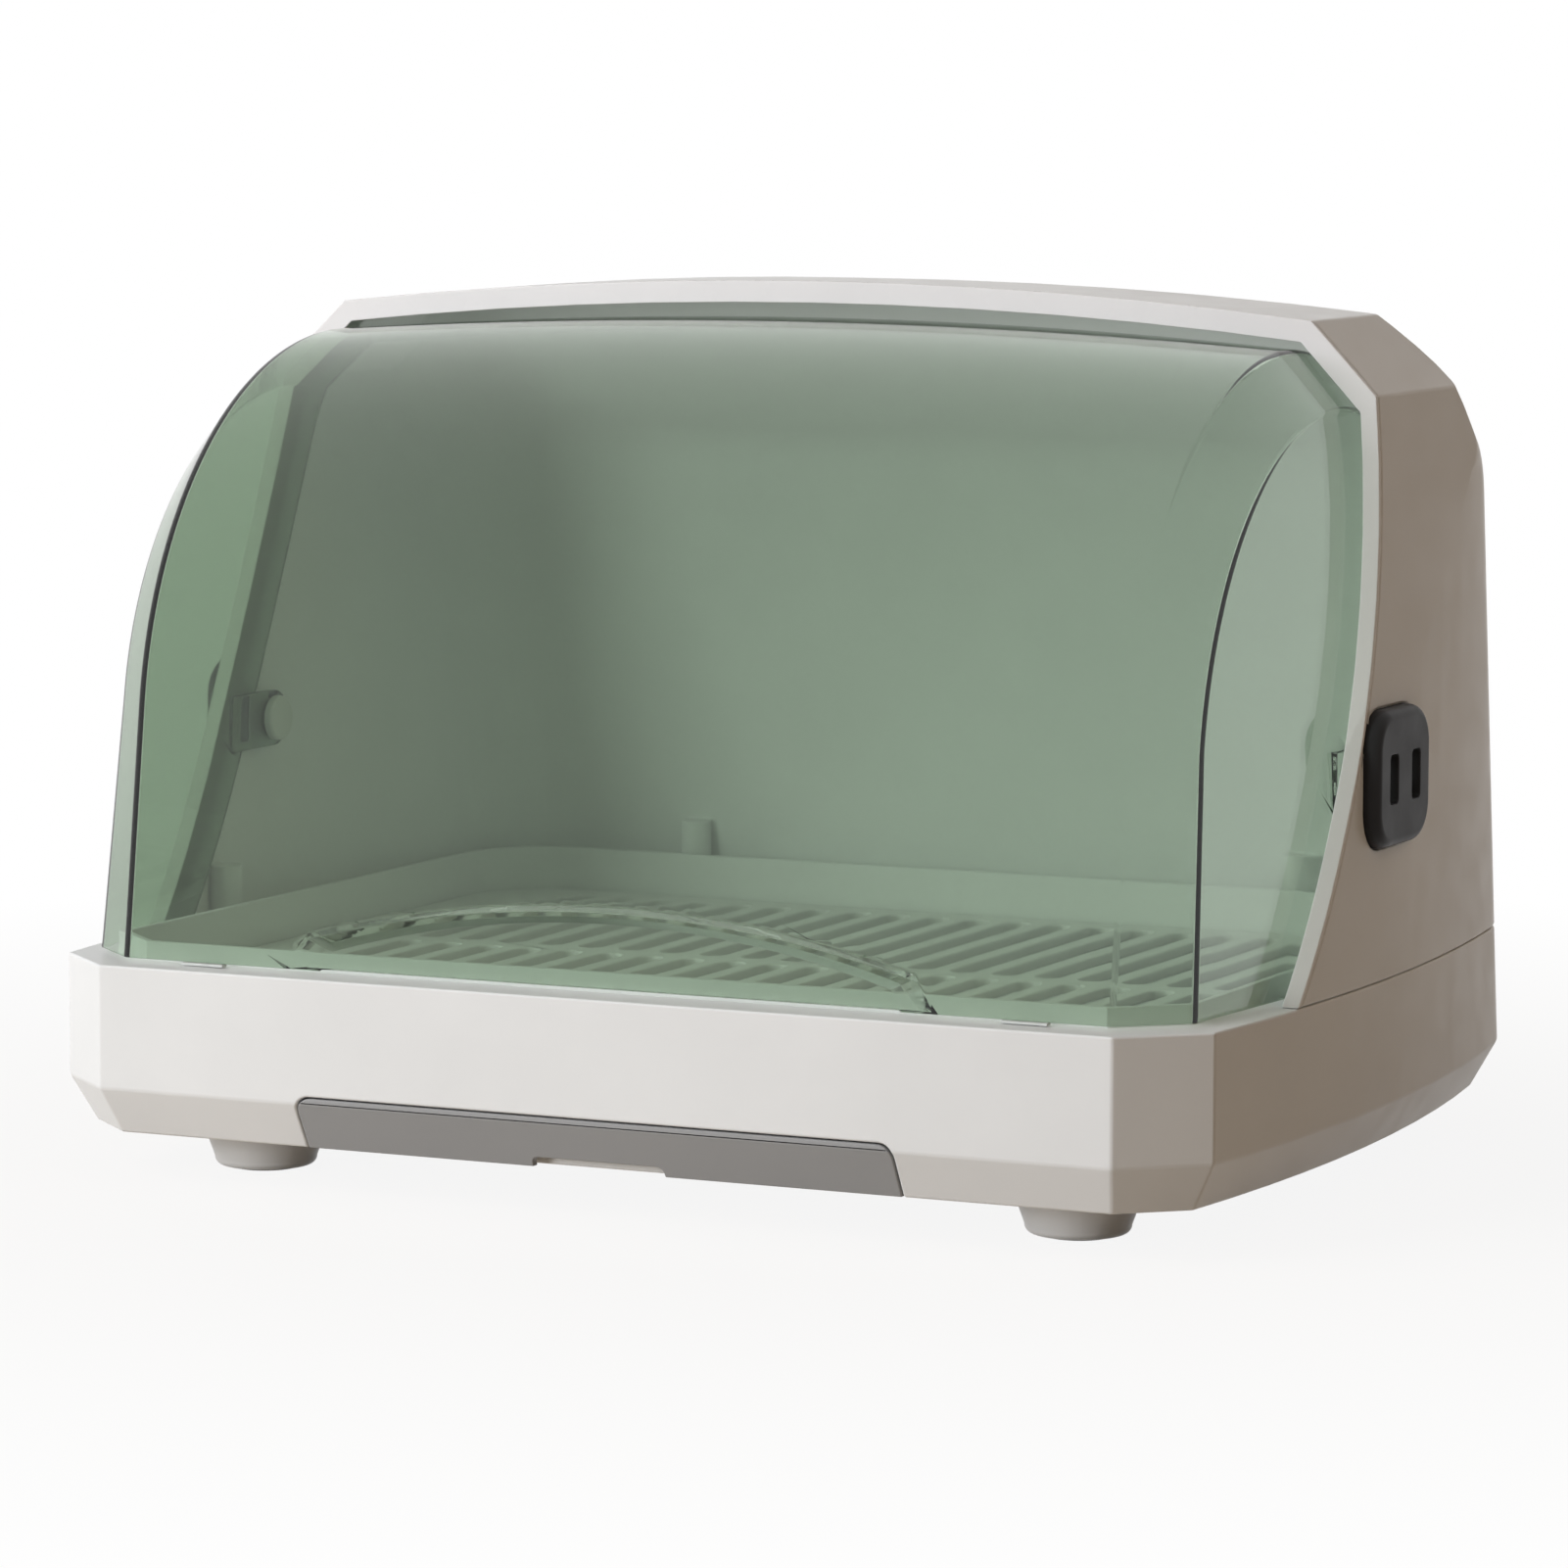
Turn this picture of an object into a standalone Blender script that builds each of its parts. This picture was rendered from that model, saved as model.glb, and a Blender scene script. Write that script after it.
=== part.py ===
"""Countertop cup drying box: a white tub with a drip drawer, a white hood with a rebated
front frame, and a clear green visor that turns up and back into the hood.

All sizes are in metres. The origin is at the middle of the footprint, on the surface the
box stands on, with the front towards -Y and +Z up.
"""
import math

import bmesh
import bpy

# Overall plan of the body
SHOULDER_HALF = 0.2100
SIDE_BULGE = 0.0075
BULGE_BEHIND_FRONT = 0.1450
CHAMFER_X = 0.0257
CHAMFER_Y = 0.0229
BODY_DEPTH = 0.3450
REAR_SETBACK = 0.0090
REAR_RADIUS = 0.0460
SIDE_STEPS = 10
CORNER_STEPS = 8

# Heights of the tub
FOOT_HEIGHT = 0.0160
BAND_HEIGHT = 0.0160
FRONT_HEIGHT = 0.0420
BAND_INSET = 0.0090
TUB_WALL = 0.0030
FLOOR_THICKNESS = 0.0030

# Ledge, lip and well inside the tub
LIP_BEHIND_FRONT = 0.0178
LIP_SIDE_CLEAR = 0.0020
LIP_HEIGHT = 0.0065
LIP_WALL = 0.0024
WELL_REAR_LEDGE = 0.0180
WELL_REAR_RADIUS = 0.0340
SHELF_WIDTH = 0.0050
FLANGE_WIDTH = 0.0030
FLANGE_THICKNESS = 0.0020
SHELF_BELOW_RIM = 0.0130
DECK_ABOVE_FLOOR = 0.0165
DECK_THICKNESS = 0.0030
DRAIN_COUNT = 5
DRAIN_LENGTH = 0.0500
DRAIN_WIDTH = 0.0060
DRAIN_PITCH = 0.0300

# Drawer
DRAWER_HALF = 0.1085
DRAWER_HEIGHT = 0.0180
DRAWER_CORNER = 0.0050
DRAWER_GAP = 0.0005
DRAWER_FRONT_WALL = 0.0030
NOTCH_HALF = 0.0240
NOTCH_HEIGHT = 0.0035
NOTCH_CORNER = 0.0025
TRAY_HALF = 0.1030
TRAY_LENGTH = 0.2500
TRAY_HEIGHT = 0.0130
TRAY_WALL = 0.0018
RUNNER_THICKNESS = 0.0025
RUNNER_LIP = 0.0020
RUNNER_LENGTH = 0.2450

# Feet
FOOT_FROM_SIDE = 0.0592
FOOT_INBOARD = 0.0540
FOOT_TOP_RADIUS = 0.0218
FOOT_BOTTOM_RADIUS = 0.0175
FOOT_ROUNDING = 0.0030
FOOT_ROUNDING_STEPS = 3
FOOT_STEPS = 26
PAD_RADIUS = 0.0120
PAD_THICKNESS = 0.0020
PAD_STAND_OUT = 0.0008

# Hood
HOOD_HEIGHT = 0.2272
HOOD_CROWN = 0.0100
HOOD_CHAMFER = 0.0245
HOOD_LEAN_IN = 0.0095
HOOD_BEND_ABOVE_RIM = 0.0600
HOOD_WALL = 0.0030
REAR_LEAN = math.radians(10.5)
REAR_BEND_HEIGHT_SHARE = 0.7320
REAR_FLAT_SHARE = 0.3120
REAR_BEND_RADIUS = 0.0250
REAR_TOP_RADIUS = 0.0400
REAR_ROUNDING_STEPS = 5
CROWN_STEPS = 12
LEAN_STEPS = 6

# Front edge of the hood, seen from the side, as a cubic curve from rim to top: shares of
# the pivot's distance behind the front, each with its share of the hood's height
EDGE_SHARES = ((0.5100, 0.0), (0.7690, 0.2025), (1.0310, 0.6035), (1.0690, 1.0))
EDGE_STEPS = 24

# Frame in the hood's front edge
FRAME_SIDE_FACE = 0.0060
FRAME_TOP_FACE = 0.0076
FRAME_PLATE = 0.0020
FRAME_LEG = 0.0100

# Visor
PIVOT_HEIGHT_SHARE = 0.3000
PIVOT_REACH_SHARE = 1.0700
VISOR_TOP_GAP = 0.0019
VISOR_FOLD_INSET = 0.0035
VISOR_SIDE_LEDGE = 0.0090
VISOR_SIDE_CLEAR = 0.0100
VISOR_FRONT_LEDGE = 0.0102
VISOR_CROWN = 0.0080
VISOR_FOLD_DEPTH = 0.0190
VISOR_WALL = 0.0025
VISOR_FOOT_GAP = 0.0015
VISOR_PAST_TOP = math.radians(10.0)
VISOR_SIDE_LAP = 0.0160
VISOR_SIDE_END = 0.0100
VISOR_FRAME_CLEAR = 0.0020
VISOR_STRAIGHT_STEPS = 5
VISOR_ARC_STEPS = 24
VISOR_CROSS_STEPS = 12

# Finger recess in the visor, an arch in front view
ARCH_HALF = 0.1190
ARCH_SHOULDER_HALF = 0.1110
ARCH_SHOULDER_HEIGHT = 0.0105
ARCH_HEIGHT = 0.0255
ARCH_DEPTH = 0.0032
ARCH_BORDER_SIDE = 0.0090
ARCH_BORDER_TOP = 0.0040
ARCH_STEPS = 20

# Pivots
LUG_RADIUS = 0.0100
LUG_REACH = 0.0300
PIN_RADIUS = 0.0030
PIN_HEAD_RADIUS = 0.0080
PIN_HEAD_THICKNESS = 0.0030
PIN_HEAD_ROUNDING = 0.0010
PIVOT_BOSS_RADIUS = 0.0055
WASHER_RADIUS = 0.0070
WASHER_THICKNESS = 0.0015
PIVOT_STEPS = 24

# Side caps
CAP_LENGTH = 0.0510
CAP_HEIGHT = 0.0460
CAP_RADIUS = 0.0135
CAP_STAND_OUT = 0.0050
CAP_POCKET = 0.0010
CAP_DRAFT = 0.0036
CAP_CORNER_STEPS = 6
CAP_SHOULDER_SHARE = 0.35
SLOT_WIDTH = 0.0078
SLOT_HEIGHT = 0.0165
SLOT_PITCH = 0.0208
SLOT_RADIUS = 0.0018

# Drain rack
RACK_THICKNESS = 0.0035
RACK_BORDER = 0.0120
RACK_SLOT = 0.0090
RACK_BAR = 0.0070
RACK_CROSS_BAR = 0.0090
RACK_ROWS = 2
RACK_SLOT_STEPS = 2
RACK_CORNER = 0.0180

# Screws between tub and hood
SCREW_SIDE_BEHIND_FRONT = 0.1300
SCREW_SIDE_INBOARD = 0.0080
SCREW_REAR_FROM_SIDE = 0.0900
SCREW_REAR_INBOARD = 0.0090
SCREW_BOSS_RADIUS = 0.0056
SCREW_BOSS_HEIGHT = 0.0180
SCREW_SHANK_RADIUS = 0.0017
SCREW_SHANK_LENGTH = 0.0140
SCREW_HEAD_RADIUS = 0.0033
SCREW_HEAD_THICKNESS = 0.0024
SCREW_STEPS = 18

# Visor bumpers on the ledge
BUMPER_FROM_SIDE = 0.0600
BUMPER_LENGTH = 0.0160
BUMPER_WIDTH = 0.0030

# Clearances
SEAT_GAP = 0.0003
BORE_GAP = 0.0003
OVERRUN = 0.0200
PARALLEL_SINE = 0.0000005
FLAT_WITHIN = 0.0000002

# Values worked out from the sizes above
FRONT_Y = -BODY_DEPTH / 2
TUB_BOTTOM_Z = FOOT_HEIGHT
FOLD_Z = TUB_BOTTOM_Z + BAND_HEIGHT
RIM_Z = FOLD_Z + FRONT_HEIGHT
FLOOR_TOP_Z = TUB_BOTTOM_Z + FLOOR_THICKNESS
DECK_BOTTOM_Z = FLOOR_TOP_Z + DECK_ABOVE_FLOOR
DECK_TOP_Z = DECK_BOTTOM_Z + DECK_THICKNESS
SHELF_Z = RIM_Z - SHELF_BELOW_RIM
RIM_DEPTH = BODY_DEPTH - REAR_SETBACK
FOOT_X = SHOULDER_HALF - FOOT_FROM_SIDE
BODY_HALF = SHOULDER_HALF + SIDE_BULGE
HOOD_FOOT_Z = RIM_Z + SEAT_GAP
HOOD_TOP_Z = HOOD_FOOT_Z + HOOD_HEIGHT
PIVOT_Z = RIM_Z + HOOD_HEIGHT * PIVOT_HEIGHT_SHARE
TOP_FOLD_Z = HOOD_TOP_Z - HOOD_CROWN
SIDE_FOLD_Z = TOP_FOLD_Z - HOOD_CHAMFER
SIDE_FOLD_HALF = BODY_HALF - HOOD_LEAN_IN
TOP_FOLD_HALF = SIDE_FOLD_HALF - HOOD_CHAMFER
VISOR_FOOT_Z = RIM_Z + VISOR_FOOT_GAP
VISOR_RADIUS = TOP_FOLD_Z - FRAME_TOP_FACE - VISOR_TOP_GAP - PIVOT_Z
PIVOT_BEHIND_FRONT = VISOR_FRONT_LEDGE + VISOR_RADIUS * PIVOT_REACH_SHARE
PIVOT_Y = FRONT_Y + PIVOT_BEHIND_FRONT
EDGE_TOP = PIVOT_BEHIND_FRONT * EDGE_SHARES[-1][0]
VISOR_FOLD_HALF = TOP_FOLD_HALF - VISOR_FOLD_INSET
VISOR_FOOT_HALF = SHOULDER_HALF - VISOR_SIDE_LEDGE
VISOR_TOP_HALF = SIDE_FOLD_HALF - VISOR_SIDE_CLEAR


# Materials

def plastic(name, colour, roughness, alpha=1.0):
    """A moulded plastic; a clear one lets light through."""
    material = bpy.data.materials.new(name)
    material.use_nodes = True
    shader = material.node_tree.nodes["Principled BSDF"]
    shader.inputs["Base Color"].default_value = (*colour, 1.0)
    shader.inputs["Roughness"].default_value = roughness
    shader.inputs["Alpha"].default_value = alpha
    material.diffuse_color = (*colour, alpha)
    return material


def metal(name, colour, roughness):
    material = plastic(name, colour, roughness)
    material.node_tree.nodes["Principled BSDF"].inputs["Metallic"].default_value = 1.0
    return material


# Mesh helpers

def is_warped(face):
    """A four-sided face whose last corner stands off the plane of the others."""
    if len(face.verts) != 4:
        return False
    a, b, c, d = (vert.co for vert in face.verts)
    normal = (b - a).cross(c - a)
    return abs(normal.normalized().dot(d - a)) > FLAT_WITHIN


def make_object(name, verts, faces, material=None):
    """A mesh object whose faces are flat and all point outwards."""
    mesh = bpy.data.meshes.new(name)
    mesh.from_pydata(verts, [], faces)
    work = bmesh.new()
    work.from_mesh(mesh)
    bmesh.ops.triangulate(work, faces=[face for face in work.faces if is_warped(face)])
    bmesh.ops.recalc_face_normals(work, faces=work.faces)
    work.to_mesh(mesh)
    work.free()
    if material is not None:
        mesh.materials.append(material)
    piece = bpy.data.objects.new(name, mesh)
    bpy.context.scene.collection.objects.link(piece)
    return piece


def loft(name, rings, material=None):
    """A closed body through rings of the same number of points, capped at both ends."""
    count = len(rings[0])
    verts = [point for ring in rings for point in ring]
    faces = [tuple(range(count)), tuple(range(len(verts) - count, len(verts)))]
    for level in range(len(rings) - 1):
        for i in range(count):
            j = (i + 1) % count
            low, high = level * count, (level + 1) * count
            faces.append((low + i, low + j, high + j, high + i))
    return make_object(name, verts, faces, material)


def plate(name, outline, low, high, material=None):
    """A flat outline in X and Y, raised from one height to another."""
    return loft(name, [[(x, y, z) for x, y in outline] for z in (low, high)], material)


def side_prism(name, outline, x_low, x_high, material=None):
    """An outline in Y and Z, carried along X."""
    return loft(name, [[(x, y, z) for y, z in outline] for x in (x_low, x_high)], material)


def front_prism(name, outline, y_low, y_high, material=None):
    """An outline in X and Z, carried along Y."""
    return loft(name, [[(x, y, z) for x, z in outline] for y in (y_low, y_high)], material)


def block(name, low, high, material=None):
    outline = [(low[0], low[1]), (high[0], low[1]), (high[0], high[1]), (low[0], high[1])]
    return plate(name, outline, low[2], high[2], material)


def turned(name, profile, steps, material=None):
    """A body turned about Z from a profile of radius and height, bottom to top."""
    rings = []
    for radius, z in profile:
        turns = [2 * math.pi * i / steps for i in range(steps)]
        rings.append([(radius * math.cos(a), radius * math.sin(a), z) for a in turns])
    return loft(name, rings, material)


def rod_along_x(name, centre, profile, steps, material=None):
    """A body turned about X from a profile of radius and X place."""
    rings = []
    for radius, x in profile:
        turns = [2 * math.pi * i / steps for i in range(steps)]
        ring = [(x, centre[0] + radius * math.cos(a), centre[1] + radius * math.sin(a))
                for a in turns]
        rings.append(ring)
    return loft(name, rings, material)


def combine(target, tools, operation):
    """Boolean the tools with the target, one after another, and remove them."""
    for tool in tools:
        tool.hide_render = True
        tool.display_type = 'WIRE'
        modifier = target.modifiers.new(operation.title(), 'BOOLEAN')
        modifier.operation = operation
        modifier.solver = 'EXACT'
        modifier.object = tool
        bpy.context.view_layer.update()
        depsgraph = bpy.context.evaluated_depsgraph_get()
        result = bpy.data.meshes.new_from_object(target.evaluated_get(depsgraph))
        target.modifiers.clear()
        old = target.data
        target.data = result
        bpy.data.meshes.remove(old)
        result.name = target.name
        bpy.data.objects.remove(tool, do_unlink=True)
    return target


def cut(target, *tools):
    return combine(target, tools, 'DIFFERENCE')


def fuse(target, *tools):
    return combine(target, tools, 'UNION')


def common(target, *tools):
    return combine(target, tools, 'INTERSECT')


def smooth(piece, angle=math.radians(30.0)):
    piece.data.shade_smooth()
    piece.data.set_sharp_from_angle(angle=angle)
    return piece


def mirrored(name, piece):
    """The same piece on the other side of the middle plane."""
    mesh = piece.data.copy()
    mesh.name = name
    work = bmesh.new()
    work.from_mesh(mesh)
    for vert in work.verts:
        vert.co.x = -vert.co.x
    bmesh.ops.reverse_faces(work, faces=work.faces)
    work.to_mesh(mesh)
    work.free()
    twin = bpy.data.objects.new(name, mesh)
    bpy.context.scene.collection.objects.link(twin)
    return twin


def move(piece, x, y, z):
    """Shift a piece's points, so that its object stays at the origin."""
    for vert in piece.data.vertices:
        vert.co.x += x
        vert.co.y += y
        vert.co.z += z
    return piece


# Outlines

def offset_outline(points, distances):
    """Move each edge of a counter-clockwise outline inwards by its own distance."""
    count = len(points)
    lines = []
    for i in range(count):
        (ax, ay), (bx, by) = points[i], points[(i + 1) % count]
        length = math.hypot(bx - ax, by - ay)
        nx, ny = -(by - ay) / length, (bx - ax) / length
        d = distances[i]
        lines.append((ax + nx * d, ay + ny * d, (bx - ax) / length, (by - ay) / length))
    moved = []
    for i in range(count):
        px, py, pdx, pdy = lines[i - 1]
        qx, qy, qdx, qdy = lines[i]
        cross = pdx * qdy - pdy * qdx
        if abs(cross) < PARALLEL_SINE:
            moved.append((qx, qy))
            continue
        t = ((qx - px) * qdy - (qy - py) * qdx) / cross
        moved.append((px + pdx * t, py + pdy * t))
    return moved


def inset(points, distance):
    return offset_outline(points, [distance] * len(points))


def both_sides(right):
    """Complete an outline from its right half, given from front to rear."""
    return right + [(-x, y) for x, y in reversed(right)]


def body_plan(rear_y):
    """Plan of the body: flat front, chamfered front corners, bowed sides, round rear corners."""
    bow_y = FRONT_Y + BULGE_BEHIND_FRONT
    start_y = FRONT_Y + CHAMFER_Y
    bow_radius = ((bow_y - start_y) ** 2 + SIDE_BULGE ** 2) / (2 * SIDE_BULGE)
    turn = 0.0
    for _ in range(CORNER_STEPS):
        side_end_y = rear_y - REAR_RADIUS + REAR_RADIUS * math.sin(turn)
        turn = math.asin((side_end_y - bow_y) / bow_radius)
    right = [(SHOULDER_HALF - CHAMFER_X, FRONT_Y)]
    for i in range(SIDE_STEPS + 1):
        y = start_y + (side_end_y - start_y) * i / SIDE_STEPS
        drop = bow_radius - math.sqrt(bow_radius ** 2 - (y - bow_y) ** 2)
        right.append((BODY_HALF - drop, y))
    end_x = right[-1][0]
    centre_x = end_x - REAR_RADIUS * math.cos(turn)
    centre_y = side_end_y - REAR_RADIUS * math.sin(turn)
    for i in range(1, CORNER_STEPS + 1):
        a = turn + (math.pi / 2 - turn) * i / CORNER_STEPS
        right.append((centre_x + REAR_RADIUS * math.cos(a), centre_y + REAR_RADIUS * math.sin(a)))
    return both_sides(right)


def well_plan():
    """Plan of the lip's outer face, inside the visor and clear of it."""
    half = VISOR_FOOT_HALF - VISOR_WALL - LIP_SIDE_CLEAR
    front = FRONT_Y + LIP_BEHIND_FRONT
    rear = FRONT_Y + RIM_DEPTH - WELL_REAR_LEDGE
    run_x = VISOR_FOOT_HALF - VISOR_FOLD_HALF
    right = [(half - run_x, front), (half, front + VISOR_FOLD_DEPTH)]
    centre_x, centre_y = half - WELL_REAR_RADIUS, rear - WELL_REAR_RADIUS
    for i in range(CORNER_STEPS + 1):
        a = math.pi / 2 * i / CORNER_STEPS
        right.append((centre_x + WELL_REAR_RADIUS * math.cos(a),
                      centre_y + WELL_REAR_RADIUS * math.sin(a)))
    return both_sides(right)


def round_rect(half_x, half_y, radius, steps, centre=(0.0, 0.0)):
    """A rectangle with round corners, counter-clockwise."""
    points = []
    corners = ((1, 1, 0.0), (-1, 1, 0.5), (-1, -1, 1.0), (1, -1, 1.5))
    for sx, sy, start in corners:
        for i in range(steps + 1):
            a = math.pi * (start + 0.5 * i / steps)
            points.append((centre[0] + sx * (half_x - radius) + radius * math.cos(a),
                           centre[1] + sy * (half_y - radius) + radius * math.sin(a)))
    return points


# Tub

def tub_solid(name, wall, low_z, high_z, material=None):
    """The tub's outer form moved inwards by a wall, between two heights."""
    fold = body_plan(FRONT_Y + BODY_DEPTH)
    rim = body_plan(FRONT_Y + RIM_DEPTH)
    levels = [(TUB_BOTTOM_Z, inset(fold, BAND_INSET)), (FOLD_Z, fold), (RIM_Z, rim)]

    def outline_at(z):
        for (z0, low), (z1, high) in zip(levels, levels[1:]):
            if z <= z1:
                break
        t = (z - z0) / (z1 - z0)
        return [(a + (c - a) * t, b + (d - b) * t) for (a, b), (c, d) in zip(low, high)]

    heights = [low_z] + [z for z in (FOLD_Z,) if low_z < z < high_z] + [high_z]
    rings = [[(x, y, z) for x, y in inset(outline_at(z), wall)] for z in heights]
    return loft(name, rings, material)


def make_tub(material):
    """The outer tub: floor, walls and a ledge round the opening that the well hangs in."""
    tub = tub_solid("base_tub", 0.0, TUB_BOTTOM_Z, RIM_Z, material)
    cut(tub, tub_solid("hollow", TUB_WALL, FLOOR_TOP_Z, RIM_Z - TUB_WALL))
    opening = inset(well_plan(), -SEAT_GAP)
    cut(tub, plate("well_opening", opening, FLOOR_TOP_Z + OVERRUN, RIM_Z + OVERRUN))

    mouth_half = DRAWER_HALF + DRAWER_GAP
    mouth_depth = BAND_INSET + TUB_WALL + TUB_WALL
    mouth = drawer_outline(mouth_half, DRAWER_HEIGHT + DRAWER_GAP, OVERRUN)
    cut(tub, front_prism("mouth", mouth, FRONT_Y - OVERRUN, FRONT_Y + mouth_depth))
    for x, y in screw_places():
        bore = turned("bore", [(SCREW_SHANK_RADIUS + BORE_GAP, RIM_Z - OVERRUN / 2),
                               (SCREW_SHANK_RADIUS + BORE_GAP, RIM_Z + OVERRUN)], SCREW_STEPS)
        move(bore, x, y, 0.0)
        cut(tub, bore)
    return tub


def make_well(material):
    """The drain well in the tub: a lip round the top, a flange that hooks under the tub's
    ledge, a shelf for the rack and a drained deck."""
    lip = well_plan()
    step_z = SHELF_Z - TUB_WALL
    lower = inset(lip, SHELF_WIDTH)
    body = plate("drain_well", lip, step_z, RIM_Z + LIP_HEIGHT, material)
    fuse(body, plate("well_lower", lower, DECK_BOTTOM_Z, step_z + TUB_WALL / 2))
    flange_top = RIM_Z - TUB_WALL - SEAT_GAP
    flange = plate("flange", inset(lip, -FLANGE_WIDTH), flange_top - FLANGE_THICKNESS, flange_top)
    fuse(body, flange)
    well = inset(lip, LIP_WALL)
    cut(body, plate("well_cut", well, SHELF_Z, RIM_Z + OVERRUN))
    cut(body, plate("sump_cut", inset(well, SHELF_WIDTH), DECK_TOP_Z, RIM_Z))
    for i in range(DRAIN_COUNT):
        x = (i - (DRAIN_COUNT - 1) / 2) * DRAIN_PITCH
        hole = round_rect(DRAIN_WIDTH / 2, DRAIN_LENGTH / 2, DRAIN_WIDTH / 2, CAP_CORNER_STEPS,
                          (x, 0.0))
        cut(body, plate("drain", hole, DECK_BOTTOM_Z - TUB_WALL, DECK_TOP_Z + TUB_WALL))
    return body


def screw_places():
    """Where the hood is screwed to the ledge: two at the sides, two at the back."""
    side_x = BODY_HALF - SCREW_SIDE_INBOARD
    side_y = FRONT_Y + SCREW_SIDE_BEHIND_FRONT
    rear_y = FRONT_Y + RIM_DEPTH - SCREW_REAR_INBOARD
    rear_x = SHOULDER_HALF - SCREW_REAR_FROM_SIDE
    return [(-side_x, side_y), (side_x, side_y), (-rear_x, rear_y), (rear_x, rear_y)]


# Drawer

def drawer_outline(half, height, below):
    """Front view of the drawer front: round top corners, square lower ones."""
    top = TUB_BOTTOM_Z + height
    points = [(-half, TUB_BOTTOM_Z - below), (half, TUB_BOTTOM_Z - below)]
    for sx, start in ((1, 0.0), (-1, 0.5)):
        for i in range(CAP_CORNER_STEPS + 1):
            a = math.pi * (start + 0.5 * i / CAP_CORNER_STEPS)
            points.append((sx * (half - DRAWER_CORNER) + DRAWER_CORNER * math.cos(a),
                           top - DRAWER_CORNER + DRAWER_CORNER * math.sin(a)))
    return points


def make_drawer_front(material):
    """A thin front that follows the two slopes of the tub, with a finger notch below."""
    front = tub_solid("drawer_front", 0.0, TUB_BOTTOM_Z, RIM_Z, material)
    outline = drawer_outline(DRAWER_HALF, DRAWER_HEIGHT, 0.0)
    reach = BAND_INSET + TUB_WALL
    common(front, front_prism("front_outline", outline, FRONT_Y - OVERRUN, FRONT_Y + reach))
    cut(front, tub_solid("front_back", DRAWER_FRONT_WALL, TUB_BOTTOM_Z - SEAT_GAP, RIM_Z))
    notch = round_rect(NOTCH_HALF, NOTCH_HEIGHT, NOTCH_CORNER, CAP_CORNER_STEPS,
                       (0.0, TUB_BOTTOM_Z))
    cut(front, front_prism("notch", notch, FRONT_Y - OVERRUN, FRONT_Y + OVERRUN))
    return front


def make_tray(material):
    """The open drip tray behind the drawer front, on the tub's floor."""
    front_y = FRONT_Y + BAND_INSET + DRAWER_FRONT_WALL + SEAT_GAP
    low_z = FLOOR_TOP_Z + SEAT_GAP
    high_z = low_z + TRAY_HEIGHT
    rear_y = front_y + TRAY_LENGTH
    tray = block("drip_tray", (-TRAY_HALF, front_y, low_z), (TRAY_HALF, rear_y, high_z), material)
    inner = TRAY_HALF - TRAY_WALL
    cut(tray, block("tray_cut", (-inner, front_y + TRAY_WALL, low_z + TRAY_WALL),
                    (inner, rear_y - TRAY_WALL, high_z + OVERRUN)))
    return tray


def make_runner(name, side, material):
    """An angle rail on the floor that guides one side of the tray and holds its edge down."""
    inner = TRAY_HALF + SEAT_GAP
    outer = inner + RUNNER_THICKNESS
    low_z = FLOOR_TOP_Z + SEAT_GAP
    front_y = FRONT_Y + BAND_INSET + TUB_WALL + TUB_WALL + SEAT_GAP
    high_z = low_z + TRAY_HEIGHT + SEAT_GAP + RUNNER_LIP
    section = [(inner, low_z), (outer, low_z), (outer, high_z), (inner - RUNNER_LIP, high_z),
               (inner - RUNNER_LIP, high_z - RUNNER_LIP + SEAT_GAP),
               (inner, high_z - RUNNER_LIP + SEAT_GAP)]
    section = [(side * x, z) for x, z in section]
    return front_prism(name, section, front_y, front_y + RUNNER_LENGTH, material)


# Feet

def make_foot(name, x, y, material):
    """A turned foot with a rounded lower edge and a shallow recess for its pad."""
    low = PAD_STAND_OUT
    high = FOOT_HEIGHT - SEAT_GAP
    recess = low + PAD_THICKNESS - PAD_STAND_OUT + SEAT_GAP
    profile = []
    for i in range(FOOT_ROUNDING_STEPS + 1):
        a = math.pi / 2 * i / FOOT_ROUNDING_STEPS
        profile.append((FOOT_BOTTOM_RADIUS - FOOT_ROUNDING + FOOT_ROUNDING * math.sin(a),
                        low + FOOT_ROUNDING - FOOT_ROUNDING * math.cos(a)))
    profile.append((FOOT_TOP_RADIUS, high))
    foot = turned(name, profile, FOOT_STEPS, material)
    cut(foot, turned("recess", [(PAD_RADIUS + SEAT_GAP, low - PAD_STAND_OUT),
                                (PAD_RADIUS + SEAT_GAP, recess)], FOOT_STEPS))
    return smooth(move(foot, x, y, 0.0))


def make_pad(name, x, y, material):
    pad = turned(name, [(PAD_RADIUS, 0.0), (PAD_RADIUS, PAD_THICKNESS)], FOOT_STEPS, material)
    return smooth(move(pad, x, y, 0.0))


# Hood

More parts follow.
